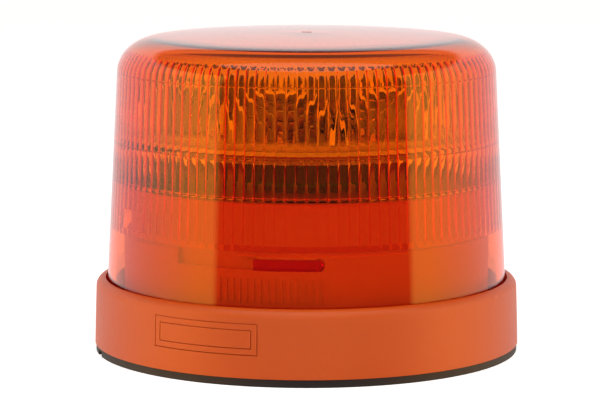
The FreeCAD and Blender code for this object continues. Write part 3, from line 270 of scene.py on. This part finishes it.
def amber_glass(name, tint, density):
    """Dyed polycarbonate, polished outside: amber where thin, red where light runs far inside it."""
    material, tree, shader = new_material(name)
    # faint waves 16 mm across, as a polished tool leaves them
    skin(tree, shader, relief=(grain(tree, 16.0, 1.0), 0.03, 0.25), Base_Color=(1, 1, 1, 1), IOR=1.585,
         Roughness=0.015, Transmission_Weight=1.0)
    dye = add_node(tree, "ShaderNodeVolumeAbsorption", None, Color=(*tint, 1), Density=density)
    # lamps shine through the wall without being bent, so that what is inside stays lit, and light
    # that has been trapped in the wall for many turns leaves it
    turns_inside = 5.0
    path = add_node(tree, "ShaderNodeLightPath")
    trapped = add_node(tree, "ShaderNodeMath", {"operation": "GREATER_THAN"},
                       i0=path.outputs["Ray Depth"], i1=turns_inside)
    unbent = path.outputs["Is Shadow Ray"]
    for reason in (path.outputs["Is Diffuse Ray"], trapped.outputs["Value"]):
        unbent = add_node(tree, "ShaderNodeMath", {"operation": "MAXIMUM"}, i0=unbent,
                          i1=reason).outputs["Value"]
    clear = add_node(tree, "ShaderNodeBsdfTransparent", None, Color=(1, 1, 1, 1))
    wall = add_node(tree, "ShaderNodeMixShader", None, i0=unbent, i1=shader.outputs["BSDF"],
                    i2=clear.outputs["BSDF"])
    output = tree.nodes["Material Output"]
    tree.links.new(wall.outputs["Shader"], output.inputs["Surface"])
    tree.links.new(dye.outputs["Volume"], output.inputs["Volume"])
    return material


def led_silicone(name):
    """Clear silicone over yellow phosphor, moulded: waxy, slightly see-through."""
    material, tree, shader = new_material(name)
    skin(tree, shader, tones=(grain(tree, 0.8, 2.0), linear("#E8B62E"), linear("#F4D25A")),
         Roughness=0.18, IOR=1.41, Subsurface_Weight=0.3, Subsurface_Scale=0.001, Coat_Weight=0.6)
    return material


def mirror_coat(name, colour):
    """Vacuum metallised plastic: bright aluminium with a faint lacquer haze in clouds of 4 mm."""
    material, tree, shader = new_material(name)
    haze = grain(tree, 4.0, 3.0)
    skin(tree, shader, tones=(haze, linear("#D6D7DA"), (*colour, 1)), gloss=(haze, 0.06, 0.14),
         Metallic=1.0, Coat_Weight=0.4)
    return material


def dress(finishes):
    """Gives each frame node whose material slot is named its finish."""
    for part in frame["record"]["subparts"]:
        if part["material_slot"] in finishes:
            piece = frame["nodes"][part["node"]]
            piece.data.materials.clear()
            piece.data.materials.append(finishes[part["material_slot"]])


# ---------------------------------------------------------------- settings


class BeaconSizes(bpy.types.PropertyGroup):
    flute_count: IntProperty(name="Flutes", description="Upright flutes round the inside of the lens",
                             default=120)
    flute_depth: FloatProperty(name="Flute depth",
                               description="How far a flute stands in from its grooves",
                               default=0.4 * MM, unit="LENGTH")
    rib_depth: FloatProperty(name="Rib depth", description="Depth of the shallow ribs below the flutes",
                             default=0.25 * MM, unit="LENGTH")
    rib_bottom: FloatProperty(name="Rib bottom", description="Level where the shallow ribs start",
                              default=50 * MM, unit="LENGTH")
    flute_bottom: FloatProperty(name="Flute bottom", description="Level where the deeper flutes start",
                                default=68 * MM, unit="LENGTH")
    flute_lip: FloatProperty(name="Flute lip",
                             description="How far the lip at a flute's foot stands out of it",
                             default=0.6 * MM, unit="LENGTH")
    insert_top: FloatProperty(name="Insert top",
                              description="Level of the mould's joint line near the shoulder",
                              default=109.3 * MM, unit="LENGTH")
    flute_bend: FloatProperty(name="Flute bend",
                              description="Level where the flutes bend in under the shoulder",
                              default=109.8 * MM, unit="LENGTH")
    flute_end: FloatProperty(name="Flute end",
                             description="Lean of the wall at which the flutes run out", default=0.66,
                             unit="ROTATION")
    lens_wall: FloatProperty(name="Lens wall", description="Wall of the lens at the grooves",
                             default=3 * MM, unit="LENGTH")
    shoulder_radius: FloatProperty(name="Shoulder radius",
                                   description="Lens radius where the shoulder starts",
                                   default=74.1 * MM, unit="LENGTH")
    shoulder_width: FloatProperty(name="Shoulder width",
                                  description="How far in the rounded shoulder reaches",
                                  default=16 * MM, unit="LENGTH")
    shoulder_drop: FloatProperty(name="Shoulder drop", description="Height of the rounded shoulder",
                                 default=13.8 * MM, unit="LENGTH")
    inner_width: FloatProperty(name="Inner shoulder",
                               description="How far in the hollow's shoulder reaches", default=13 * MM,
                               unit="LENGTH")
    crown: FloatProperty(name="Crown", description="Rise of the nearly flat roof", default=1.6 * MM,
                         unit="LENGTH")
    camera_distance: FloatProperty(name="Camera distance", description="From the beacon's axis",
                                   default=1.1, unit="LENGTH")
    camera_height: FloatProperty(name="Camera height", description="Above the floor", default=0.2117,
                                 unit="LENGTH")


class BeaconColours(bpy.types.PropertyGroup):
    housing: FloatVectorProperty(name="Housing", description="Orange of the base", subtype="COLOR",
                                 default=linear("#CF5306")[:3])
    housing_dark: FloatVectorProperty(name="Housing, darker",
                                      description="Darker tone in the orange of the base",
                                      subtype="COLOR", default=linear("#C84D05")[:3])
    lens: FloatVectorProperty(name="Lens", description="Colour that the lens plastic lets through",
                              subtype="COLOR", default=linear("#FEEB00")[:3])
    lens_density: FloatProperty(name="Lens density", description="Strength of the lens dye, per metre",
                                default=1700.0, min=0.0)
    reflector: FloatVectorProperty(name="Reflector",
                                   description="Tone of the metal film on the reflectors",
                                   subtype="COLOR", default=linear("#EEEFF1")[:3])


# ---------------------------------------------------------------- lens


def shoulder_level(sizes):
    """Level where the drafted side ends and the rounded shoulder starts."""
    return LENS_TOP - sizes.crown - sizes.shoulder_drop


def lens_side(sizes, level):
    """Outer radius of the drafted side at a level."""
    share = (level - LENS_FOOT) / (shoulder_level(sizes) - LENS_FOOT)
    return FOOT_RADIUS + share * (sizes.shoulder_radius - FOOT_RADIUS)


def crown_start(sizes, width, drop):
    """Turn along a rounded shoulder at which it leans as the edge of the crown does."""
    lean = 2 * sizes.crown / (sizes.shoulder_radius - sizes.shoulder_width)
    return math.atan(drop / width / lean)


def lens_profile(sizes):
    """Outer side, from the foot to the middle of the roof, as (radius, level)."""
    shoulder = shoulder_level(sizes)
    levels = [LENS_FOOT + (shoulder - LENS_FOOT) * k / SIDE_RINGS for k in range(SIDE_RINGS + 1)]
    spots = [(lens_side(sizes, level), level) for level in levels]
    centre = sizes.shoulder_radius - sizes.shoulder_width
    end = crown_start(sizes, sizes.shoulder_width, sizes.shoulder_drop)
    for k in range(1, SHOULDER_RINGS + 1):
        angle = end * k / SHOULDER_RINGS
        spots.append((centre + sizes.shoulder_width * math.cos(angle),
                      shoulder + sizes.shoulder_drop * math.sin(angle)))
    reach, level = spots[-1]
    for k in range(1, ROOF_RINGS):
        share = 1 - k / ROOF_RINGS
        spots.append((reach * share, level + (LENS_TOP - level) * (1 - share ** 2)))
    return spots


def flute_share(position):
    """Height of a flute across its width: 0 in the sharp grooves, 1 on the nearly flat crest."""
    return 1 - (2 * position - 1) ** 4


class LensBlock:
    """Something that stands in from the wall: between two levels, and at each of its turns."""

    def __init__(self, radius, levels, turns, steps, nose=0.0):
        self.radius, self.turns, self.steps, self.nose = radius, turns, steps, nose
        self.low, self.high = levels

    def levels(self):
        """Levels that its shape needs rings at."""
        step = (self.high - self.low) / self.steps
        rows = [self.low + step * k for k in range(self.steps + 1)]
        return [self.low - BLOCK_EDGE, self.high + BLOCK_EDGE, *rows]

    def spans(self, level):
        """Start and end of the block at a level; its far end is round where it has a nose."""
        if not self.low - LEVEL_SLACK <= level <= self.high + LEVEL_SLACK:
            return []
        above = min(self.nose, abs(level - (self.low + self.high) / 2))
        cut = (self.nose - math.sqrt(self.nose ** 2 - above ** 2)) / self.radius
        return [(math.radians(start), math.radians(end) - cut) for start, end in self.turns]


def lens_blocks(sizes):
    """The three bayonet lugs, and the bare plate for an approval mark."""
    full_turn = 360
    start, end = LUG_TURNS
    turns = [(start + full_turn / LUG_COUNT * k, end + full_turn / LUG_COUNT * k) for k in range(LUG_COUNT)]
    lugs = LensBlock(LUG_RADIUS, LUG_LEVELS, turns, LUG_STEPS, LUG_NOSE)
    plate_wall = lens_side(sizes, PLATE_LEVELS[1]) - sizes.lens_wall
    plate = LensBlock(plate_wall - PLATE_DEPTH, PLATE_LEVELS, [PLATE_TURNS], 1)
    return lugs, plate


def groove_heights(sizes, blocks):
    """Levels of the hollow's rings up to the flutes' bend, each with how far a flute stands in there."""
    full, rib, near = sizes.flute_depth, sizes.rib_depth, RING_GAP
    bare = (LENS_FOOT + near, sizes.rib_bottom - RIB_RUN, 0.0)
    ribbed = (sizes.rib_bottom + RIB_RUN, sizes.flute_bottom - FLUTE_RUN, rib)
    rows = [(LENS_FOOT, 0.0)]
    for start, end, depth in (bare, ribbed):
        rows += [(level, depth) for level in (start, start + near, end - near, end)]
    rows += [(sizes.flute_bottom, full), (sizes.flute_bottom + near, full)]
    # a small rounded lip closes the foot of each flute
    rows += [(sizes.flute_bottom + rise, full + sizes.flute_lip * share) for rise, share in LIP]
    for level in (LOWER_LINE, sizes.insert_top):
        rows += [(level - 2 * near, full), (level - near, full), (level, full + LINE_DEPTH),
                 (level + near, full), (level + 2 * near, full)]
    for block in blocks:
        depth = rib if block.low > sizes.rib_bottom else 0.0
        rows += [(level, depth) for level in block.levels()]
    return [*sorted(set(rows)), (sizes.flute_bend, full)]


def lens_inner_path(sizes, blocks):
    """Path of the grooves from the foot up and in under the roof: (radius, level, lean, flute depth)."""
    path = [(lens_side(sizes, level) - sizes.lens_wall, level, 0.0, depth)
            for level, depth in groove_heights(sizes, blocks)]
    start_radius, start_level = path[-1][:2]
    roof = LENS_TOP - sizes.crown - sizes.lens_wall
    centre, rise = start_radius - sizes.inner_width, roof - start_level
    end = crown_start(sizes, sizes.inner_width, rise)
    for k in range(1, INNER_SHOULDER_RINGS + 1):
        lean = end * k / INNER_SHOULDER_RINGS
        fade = min(1.0, max(0.0, (sizes.flute_end - lean) / FLUTE_FADE))
        path.append((centre + sizes.inner_width * math.cos(lean), start_level + rise * math.sin(lean),
                     lean, sizes.flute_depth * fade))
    # the hollow's roof runs parallel to the outer one, so that the view in is clear
    reach, level = path[-1][:2]
    path += [(reach * share, level + sizes.crown * (1 - share ** 2), math.pi / 2, 0.0)
             for share in INNER_ROOF_SHARES]
    return path


def lens_inner_rings(sizes):
    """Rings of the hollow; where a lug or the plate stands, its columns reach further in."""
    count = sizes.flute_count * COLUMNS
    step = 2 * math.pi / count
    blocks = lens_blocks(sizes)
    rings = []
    for radius, level, lean, depth in lens_inner_path(sizes, blocks):
        heights = [depth * flute_share((i % COLUMNS) / COLUMNS) for i in range(count)]
        reach = [radius - height * math.cos(lean) for height in heights]
        turns = [step * i for i in range(count)]
        for block in blocks:
            for start, end in block.spans(level):
                first, last = math.ceil(start / step), math.floor(end / step)
                for i in range(first, last + 1):
                    reach[i % count] = block.radius
                for i, turn in ((first - 1, start - BLOCK_SIDE * step), (first, start), (last, end),
                                (last + 1, end + BLOCK_SIDE * step)):
                    turns[i % count] = turn
        rings.append([(r * math.cos(turn), r * math.sin(turn), level - height * math.sin(lean))
                      for r, turn, height in zip(reach, turns, heights)])
    return rings


def circle_ring(radius, level, count):
    return [(radius * math.cos(2 * math.pi * i / count), radius * math.sin(2 * math.pi * i / count), level)
            for i in range(count)]


def lens_shell(sizes):
    """Closed shell: fluted hollow, foot, drafted side, shoulder and the gate mark in the roof."""
    count = sizes.flute_count * COLUMNS
    inner = lens_inner_rings(sizes)
    roof = inner[-1][0][2]
    inner.append(circle_ring(INNERMOST, roof, count))
    outer = [circle_ring(radius, level, count) for radius, level in lens_profile(sizes)]
    outer += [circle_ring(radius, LENS_TOP - depth, count) for radius, depth in GATE]
    rings = [*reversed(inner), *outer]
    points = [point for ring in rings for point in ring]
    faces = []
    for here in range(0, len(points) - count, count):
        for i in range(count):
            following = (i + 1) % count
            faces.append((here + i, here + following, here + count + following, here + count + i))
    # a fan of triangles closes the middle of the hollow's roof and of the gate mark
    inner_middle, outer_middle = len(points), len(points) + 1
    last = len(points) - count
    points += [(0, 0, roof), (0, 0, LENS_TOP)]
    for i in range(count):
        following = (i + 1) % count
        faces.append((following, i, inner_middle))
        faces.append((last + i, last + following, outer_middle))
    return points, faces


def build_lens(sizes, colours):
    """The dome as one moulding, smooth but for the edges of its flutes, lugs and plate."""
    points, faces = lens_shell(sizes)
    mesh = bpy.data.meshes.new("lens_dome")
    mesh.from_pydata(points, [], faces)
    mesh.validate()
    shell = bmesh.new()
    shell.from_mesh(mesh)
    bmesh.ops.recalc_face_normals(shell, faces=shell.faces)
    sharp = math.radians(SOFT_EDGE)
    for face in shell.faces:
        face.smooth = True
    for edge in shell.edges:
        if len(edge.link_faces) == 2 and edge.calc_face_angle(0) > sharp:
            edge.smooth = False
    shell.to_mesh(mesh)
    shell.free()
    lens = bpy.data.objects.new("lens_dome", mesh)
    bpy.context.scene.collection.objects.link(lens)
    # clear amber: the flutes inside show through the polished skin
    mesh.materials.append(amber_glass("polycarbonate_amber_polished", colours.lens, colours.lens_density))
    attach(lens, "dome")
    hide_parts("dome_lens")


# ---------------------------------------------------------------- stage


def build_camera(sizes):
    data = bpy.data.cameras.new("camera")
    camera = bpy.data.objects.new("camera", data)
    bpy.context.scene.collection.objects.link(camera)
    data.sensor_fit = "HORIZONTAL"
    data.sensor_width = SENSOR_WIDTH
    data.lens = FOCAL_LENGTH
    data.shift_x = CAMERA_SHIFT
    data.clip_end = VIEW_END
    camera.location = (0, -sizes.camera_distance, sizes.camera_height)
    camera.rotation_euler = (math.pi / 2 - CAMERA_DIP, CAMERA_ROLL, 0)
    bpy.context.scene.camera = camera


def build_floor():
    """White paper that keeps the beacon's shadow and melts into the white room."""
    mesh = bpy.data.meshes.new("floor")
    corners = [(x * FLOOR_HALF, y * FLOOR_HALF, FLOOR_LEVEL)
               for x, y in ((-1, -1), (1, -1), (1, 1), (-1, 1))]
    mesh.from_pydata(corners, [], [(0, 1, 2, 3)])
    floor = bpy.data.objects.new("floor", mesh)
    bpy.context.scene.collection.objects.link(floor)
    # matt white, and it glows a little where it is seen directly or through the lens
    material, tree, shader = new_material("floor_paper_white")
    skin(tree, shader, Base_Color=linear("#F4F4F4"), Roughness=0.9)
    path = add_node(tree, "ShaderNodeLightPath")
    seen = add_node(tree, "ShaderNodeMath", {"operation": "MAXIMUM"}, i0=path.outputs["Is Camera Ray"],
                    i1=path.outputs["Is Transmission Ray"])
    glow = add_node(tree, "ShaderNodeEmission", None, Color=(1, 1, 1, 1), Strength=FLOOR_GLOW)
    both = add_node(tree, "ShaderNodeAddShader", None, i0=shader.outputs["BSDF"], i1=glow.outputs["Emission"])
    paper = add_node(tree, "ShaderNodeMixShader", None, i0=seen.outputs["Value"], i1=shader.outputs["BSDF"],
                     i2=both.outputs["Shader"])
    tree.links.new(paper.outputs["Shader"], tree.nodes["Material Output"].inputs["Surface"])
    mesh.materials.append(material)
    floor.visible_glossy = False


def build_world():
    """White tent with a lit panel overhead, open to a dark room on the side where the camera stands."""
    world = bpy.data.worlds.new("studio")
    bpy.context.scene.world = world
    world.use_nodes = True
    tree = world.node_tree
    tree.nodes.clear()
    path = add_node(tree, "ShaderNodeLightPath")
    through = path.outputs["Is Transmission Ray"]
    view = add_node(tree, "ShaderNodeTexCoord").outputs["Generated"]
    way = add_node(tree, "ShaderNodeSeparateXYZ", None, i0=view)
    height = way.outputs["Z"]
    flat = add_node(tree, "ShaderNodeCombineXYZ", None, X=way.outputs["X"], Y=way.outputs["Y"])
    level_way = add_node(tree, "ShaderNodeVectorMath", {"operation": "NORMALIZE"}, i0=flat.outputs["Vector"])
    opening = (math.sin(OPENING_TURN), -math.cos(OPENING_TURN), 0)
    facing = add_node(tree, "ShaderNodeVectorMath", {"operation": "DOT_PRODUCT"},
                      i0=level_way.outputs["Vector"], i1=opening).outputs["Value"]

    # the lit panel: high up, on the camera's side, and faint through the lens
    panel = 1.0
    for value, start, end, low, high in ((height, *PANEL_HEIGHT, 0.0, 1.0),
                                         (way.outputs["Y"], *PANEL_REACH, 0.0, 1.0),
                                         (through, 0.0, 1.0, 1.0, PANEL_THROUGH)):
        part = add_node(tree, "ShaderNodeMapRange", None, Value=value, From_Min=start, From_Max=end,
                        To_Min=low, To_Max=high)
        panel = add_node(tree, "ShaderNodeMath", {"operation": "MULTIPLY"}, i0=panel,
                         i1=part.outputs["Result"]).outputs["Value"]

    # the tent from its sides on: back, opening, roof and panel are laid over them in turn. The sides
    # are warm in gloss and through the lens, and the light they give is white
    edge = math.cos(OPENING_HALF)
    layers = [(path.outputs["Is Diffuse Ray"], SIDE_LEVEL)]
    for value, start, end, level in ((facing, *BACK_FADE, BACK_LEVEL),
                                     (facing, edge - OPENING_EDGE, edge + OPENING_EDGE, FRONT_LEVEL),
                                     (height, *ROOF_FADE, ROOF_LEVEL)):
        share = add_node(tree, "ShaderNodeMapRange", None, Value=value, From_Min=start, From_Max=end)
        layers.append((share.outputs["Result"], level))
    layers.append((panel, PANEL_LEVEL))
    tent = SIDE_LIGHT
    for share, level in layers:
        tent = add_node(tree, "ShaderNodeMix", {"data_type": "RGBA"}, i0=share, i6=tent,
                        i7=(level, level, level, 1)).outputs[2]

    gain = add_node(tree, "ShaderNodeMapRange", None, Value=through, To_Min=1.0, To_Max=THROUGH_GAIN)
    lit = add_node(tree, "ShaderNodeBackground", None, Color=tent, Strength=gain.outputs["Result"])
    white = add_node(tree, "ShaderNodeBackground", None, Color=(1, 1, 1, 1), Strength=1.0)
    room = add_node(tree, "ShaderNodeMixShader", None, i0=path.outputs["Is Camera Ray"],
                    i1=lit.outputs["Background"], i2=white.outputs["Background"])
    add_node(tree, "ShaderNodeOutputWorld", None, Surface=room.outputs["Shader"])


def build_soft_box(name, spot, size, watts, aimed):
    """Rectangular lamp that only lights: it is seen neither in gloss nor through the lens."""
    data = bpy.data.lights.new(name, "AREA")
    data.shape = "RECTANGLE"
    data.size, data.size_y = size
    data.energy = watts
    lamp = bpy.data.objects.new(name, data)
    lamp.location = spot
    if aimed:
        way = Vector(LAMP_TARGET) - Vector(spot)
        lamp.rotation_euler = way.to_track_quat("-Z", "Y").to_euler()
    lamp.visible_glossy = False
    lamp.visible_transmission = False
    bpy.context.scene.collection.objects.link(lamp)


# ---------------------------------------------------------------- operators


class BEACON_OT_stage(bpy.types.Operator):
    """Camera, floor, world and soft boxes"""
    bl_idname = "beacon.stage"
    bl_label = "Studio"

    def execute(self, context):
        context.scene.view_settings.view_transform = "Standard"
        build_camera(context.scene.beacon_sizes)
        build_floor()
        build_world()
        for soft_box in SOFT_BOXES:
            build_soft_box(*soft_box)
        return {"FINISHED"}


class BEACON_OT_housing(bpy.types.Operator):
    """Orange base"""
    bl_idname = "beacon.housing"
    bl_label = "Base housing"

    def execute(self, context):
        colours = context.scene.beacon_colours
        dress({
            # satin orange whose fine grain breaks up its highlights
            "orange_housing": textured_abs("abs_orange_spark_textured", colours.housing,
                                           colours.housing_dark),
        })
        return {"FINISHED"}


class BEACON_OT_seals(bpy.types.Operator):
    """Base gasket, cable grommet and lens seal"""
    bl_idname = "beacon.seals"
    bl_label = "Seals"

    def execute(self, context):
        dress({
            # matt brownish black with a dusty bloom
            "gasket_rubber": rubber("epdm_black_moulded", "#2E282B", "#231E21"),
            # dull brick red, as oven and lamp seals have
            "seal_rubber": rubber("silicone_red_moulded", "#7A2416", "#651C10"),
        })
        return {"FINISHED"}


class BEACON_OT_rotor(bpy.types.Operator):
    """Post, hub, turntable, bearings and gears"""
    bl_idname = "beacon.rotor"
    bl_label = "Rotor and gears"

    def execute(self, context):
        dress({
            # dull dark grey, cloudy where the glass lies near the skin
            "black_moulding": moulded("nylon_grey_glass_filled", "#4C4A4B", "#3E3C3D", 0.45, 1.53, 0.4),
            # deep black with a waxy gloss
            "black_acetal": moulded("acetal_black_moulded", "#18181A", "#0F0F10", 0.30, 1.48),
            # milky white with a waxy gloss
            "natural_acetal": moulded("acetal_natural_moulded", "#E9E6DC", "#DDD9CD", 0.30, 1.48),
            # bright and sharp, with fine lines round the races
            "bearing_steel": metal("bearing_steel_ground", "#D5D6D8", "#C6C7CA", 0.15, 0.3, (1, 1, 6)),
            # dark powdery grey with little gloss
            "spring_steel": metal("spring_steel_phosphated", "#6C6C70", "#56565A", 0.45, 0.5),
            # pale and satin, with the tool's lines round its axis
            "aluminium_turned": metal("aluminium_turned", "#D2D4D7", "#C0C2C6", 0.25, 0.4, (1, 1, 8)),
            # pale and satin, with the rolls' lines all one way
            "aluminium_plate": metal("aluminium_rolled_sheet", "#DCDEE0", "#C9CBCE", 0.30, 0.5,
                                     (0.15, 1, 1)),
        })
        return {"FINISHED"}


class BEACON_OT_drive(bpy.types.Operator):
    """Gear motor, slip ring and brushes"""
    bl_idname = "beacon.drive"
    bl_label = "Motor and slip ring"

    def execute(self, context):
        dress({
            # warm grey gloss with soft upright streaks from the drawing
            "motor_steel": metal("steel_nickel_plated_drawn", "#8F8F92", "#77777B", 0.30, 0.6, (1, 1, 0.2)),
            # sooty black, almost without gloss
            "carbon": moulded("carbon_pressed", "#242425", "#19191A", 0.55, 1.6),
            # bright pinkish gold
            "copper_track": metal("copper_gold_flashed", "#D99C62", "#C88A50", 0.20, 0.5),
        })
        return {"FINISHED"}


class BEACON_OT_electrics(bpy.types.Operator):
    """Power board, slip ring board and what is soldered on them"""
    bl_idname = "beacon.electrics"
    bl_label = "Boards"

    def execute(self, context):
        dress({
            # glossy green with paler runs
            "circuit_board": circuit_board("fr4_green_resist", "#1F6B3B", "#1A5C32", "#3C8A52"),
            # fresh green, satin
            "green_terminal": moulded("polyamide_green_moulded", "#2F7C44", "#286E3B", 0.35),
            # dull black with a fine tooth
            "chip_resin": moulded("epoxy_black_moulded", "#1B1B1C", "#141415", 0.55),
            # blue-black and glossy, tight over its can
            "capacitor_sleeve": moulded("pet_sleeve_shrunk", "#20222E", "#171923", 0.20),
            # red-brown gloss with the lines of the turns
            "copper_winding": metal("copper_wire_enamelled", "#B4643A", "#8E4826", 0.25, 0.8, (1, 1, 0.3)),
        })
        return {"FINISHED"}


class BEACON_OT_lights(bpy.types.Operator):
    """LED board, LEDs and reflectors"""
    bl_idname = "beacon.lights"
    bl_label = "LEDs and reflectors"

    def execute(self, context):
        colours = context.scene.beacon_colours
        dress({
            # glossy white with faint greyish runs
            "white_board": circuit_board("aluminium_board_white_resist", "#EDEDE9", "#E2E2DD", "#D2D0C4"),
            # waxy yellow that light sinks into
            "led_yellow": led_silicone("silicone_over_phosphor"),
            # near-mirror, slightly hazy
            "metallised_plastic": mirror_coat("plastic_vacuum_metallised", colours.reflector),
        })
        return {"FINISHED"}


class BEACON_OT_fixings(bpy.types.Operator):
    """Screws and mounting inserts"""
    bl_idname = "beacon.fixings"
    bl_label = "Screws and inserts"

    def execute(self, context):
        dress({
            # cool bright grey, even all round
            "zinc_steel": metal("steel_zinc_plated", "#C9CBCE", "#B3B6BA", 0.28, 0.5),
            # warm yellow with the tool's lines round its axis
            "brass": metal("brass_turned", "#D9B56A", "#C49E52", 0.25, 0.5, (1, 1, 8)),
        })
        return {"FINISHED"}


class BEACON_OT_lens(bpy.types.Operator):
    """Fluted amber dome"""
    bl_idname = "beacon.lens"
    bl_label = "Lens"

    def execute(self, context):
        build_lens(context.scene.beacon_sizes, context.scene.beacon_colours)
        return {"FINISHED"}


class BEACON_PT_panel(bpy.types.Panel):
    bl_idname = "BEACON_PT_panel"
    bl_label = "Rotating beacon"
    bl_space_type = "VIEW_3D"
    bl_region_type = "UI"
    bl_category = "Beacon"

    def draw(self, context):
        for operator in OPERATORS:
            self.layout.operator(operator.bl_idname)
        for name in BeaconSizes.__annotations__:
            self.layout.prop(context.scene.beacon_sizes, name)
        for name in BeaconColours.__annotations__:
            self.layout.prop(context.scene.beacon_colours, name)


OPERATORS = (BEACON_OT_stage, BEACON_OT_housing, BEACON_OT_seals, BEACON_OT_rotor, BEACON_OT_drive,
             BEACON_OT_electrics, BEACON_OT_lights, BEACON_OT_fixings, BEACON_OT_lens)
CLASSES = (BeaconSizes, BeaconColours, *OPERATORS, BEACON_PT_panel)


def register():
    for one in CLASSES:
        bpy.utils.register_class(one)
    bpy.types.Scene.beacon_sizes = PointerProperty(type=BeaconSizes)
    bpy.types.Scene.beacon_colours = PointerProperty(type=BeaconColours)


def unregister():
    del bpy.types.Scene.beacon_colours
    del bpy.types.Scene.beacon_sizes
    for one in reversed(CLASSES):
        bpy.utils.unregister_class(one)


def main():
    register()
    bpy.ops.beacon.stage()
    bpy.ops.beacon.housing()
    bpy.ops.beacon.seals()
    bpy.ops.beacon.rotor()
    bpy.ops.beacon.drive()
    bpy.ops.beacon.electrics()
    bpy.ops.beacon.lights()
    bpy.ops.beacon.fixings()
    bpy.ops.beacon.lens()


if __name__ == "__main__":
    main()
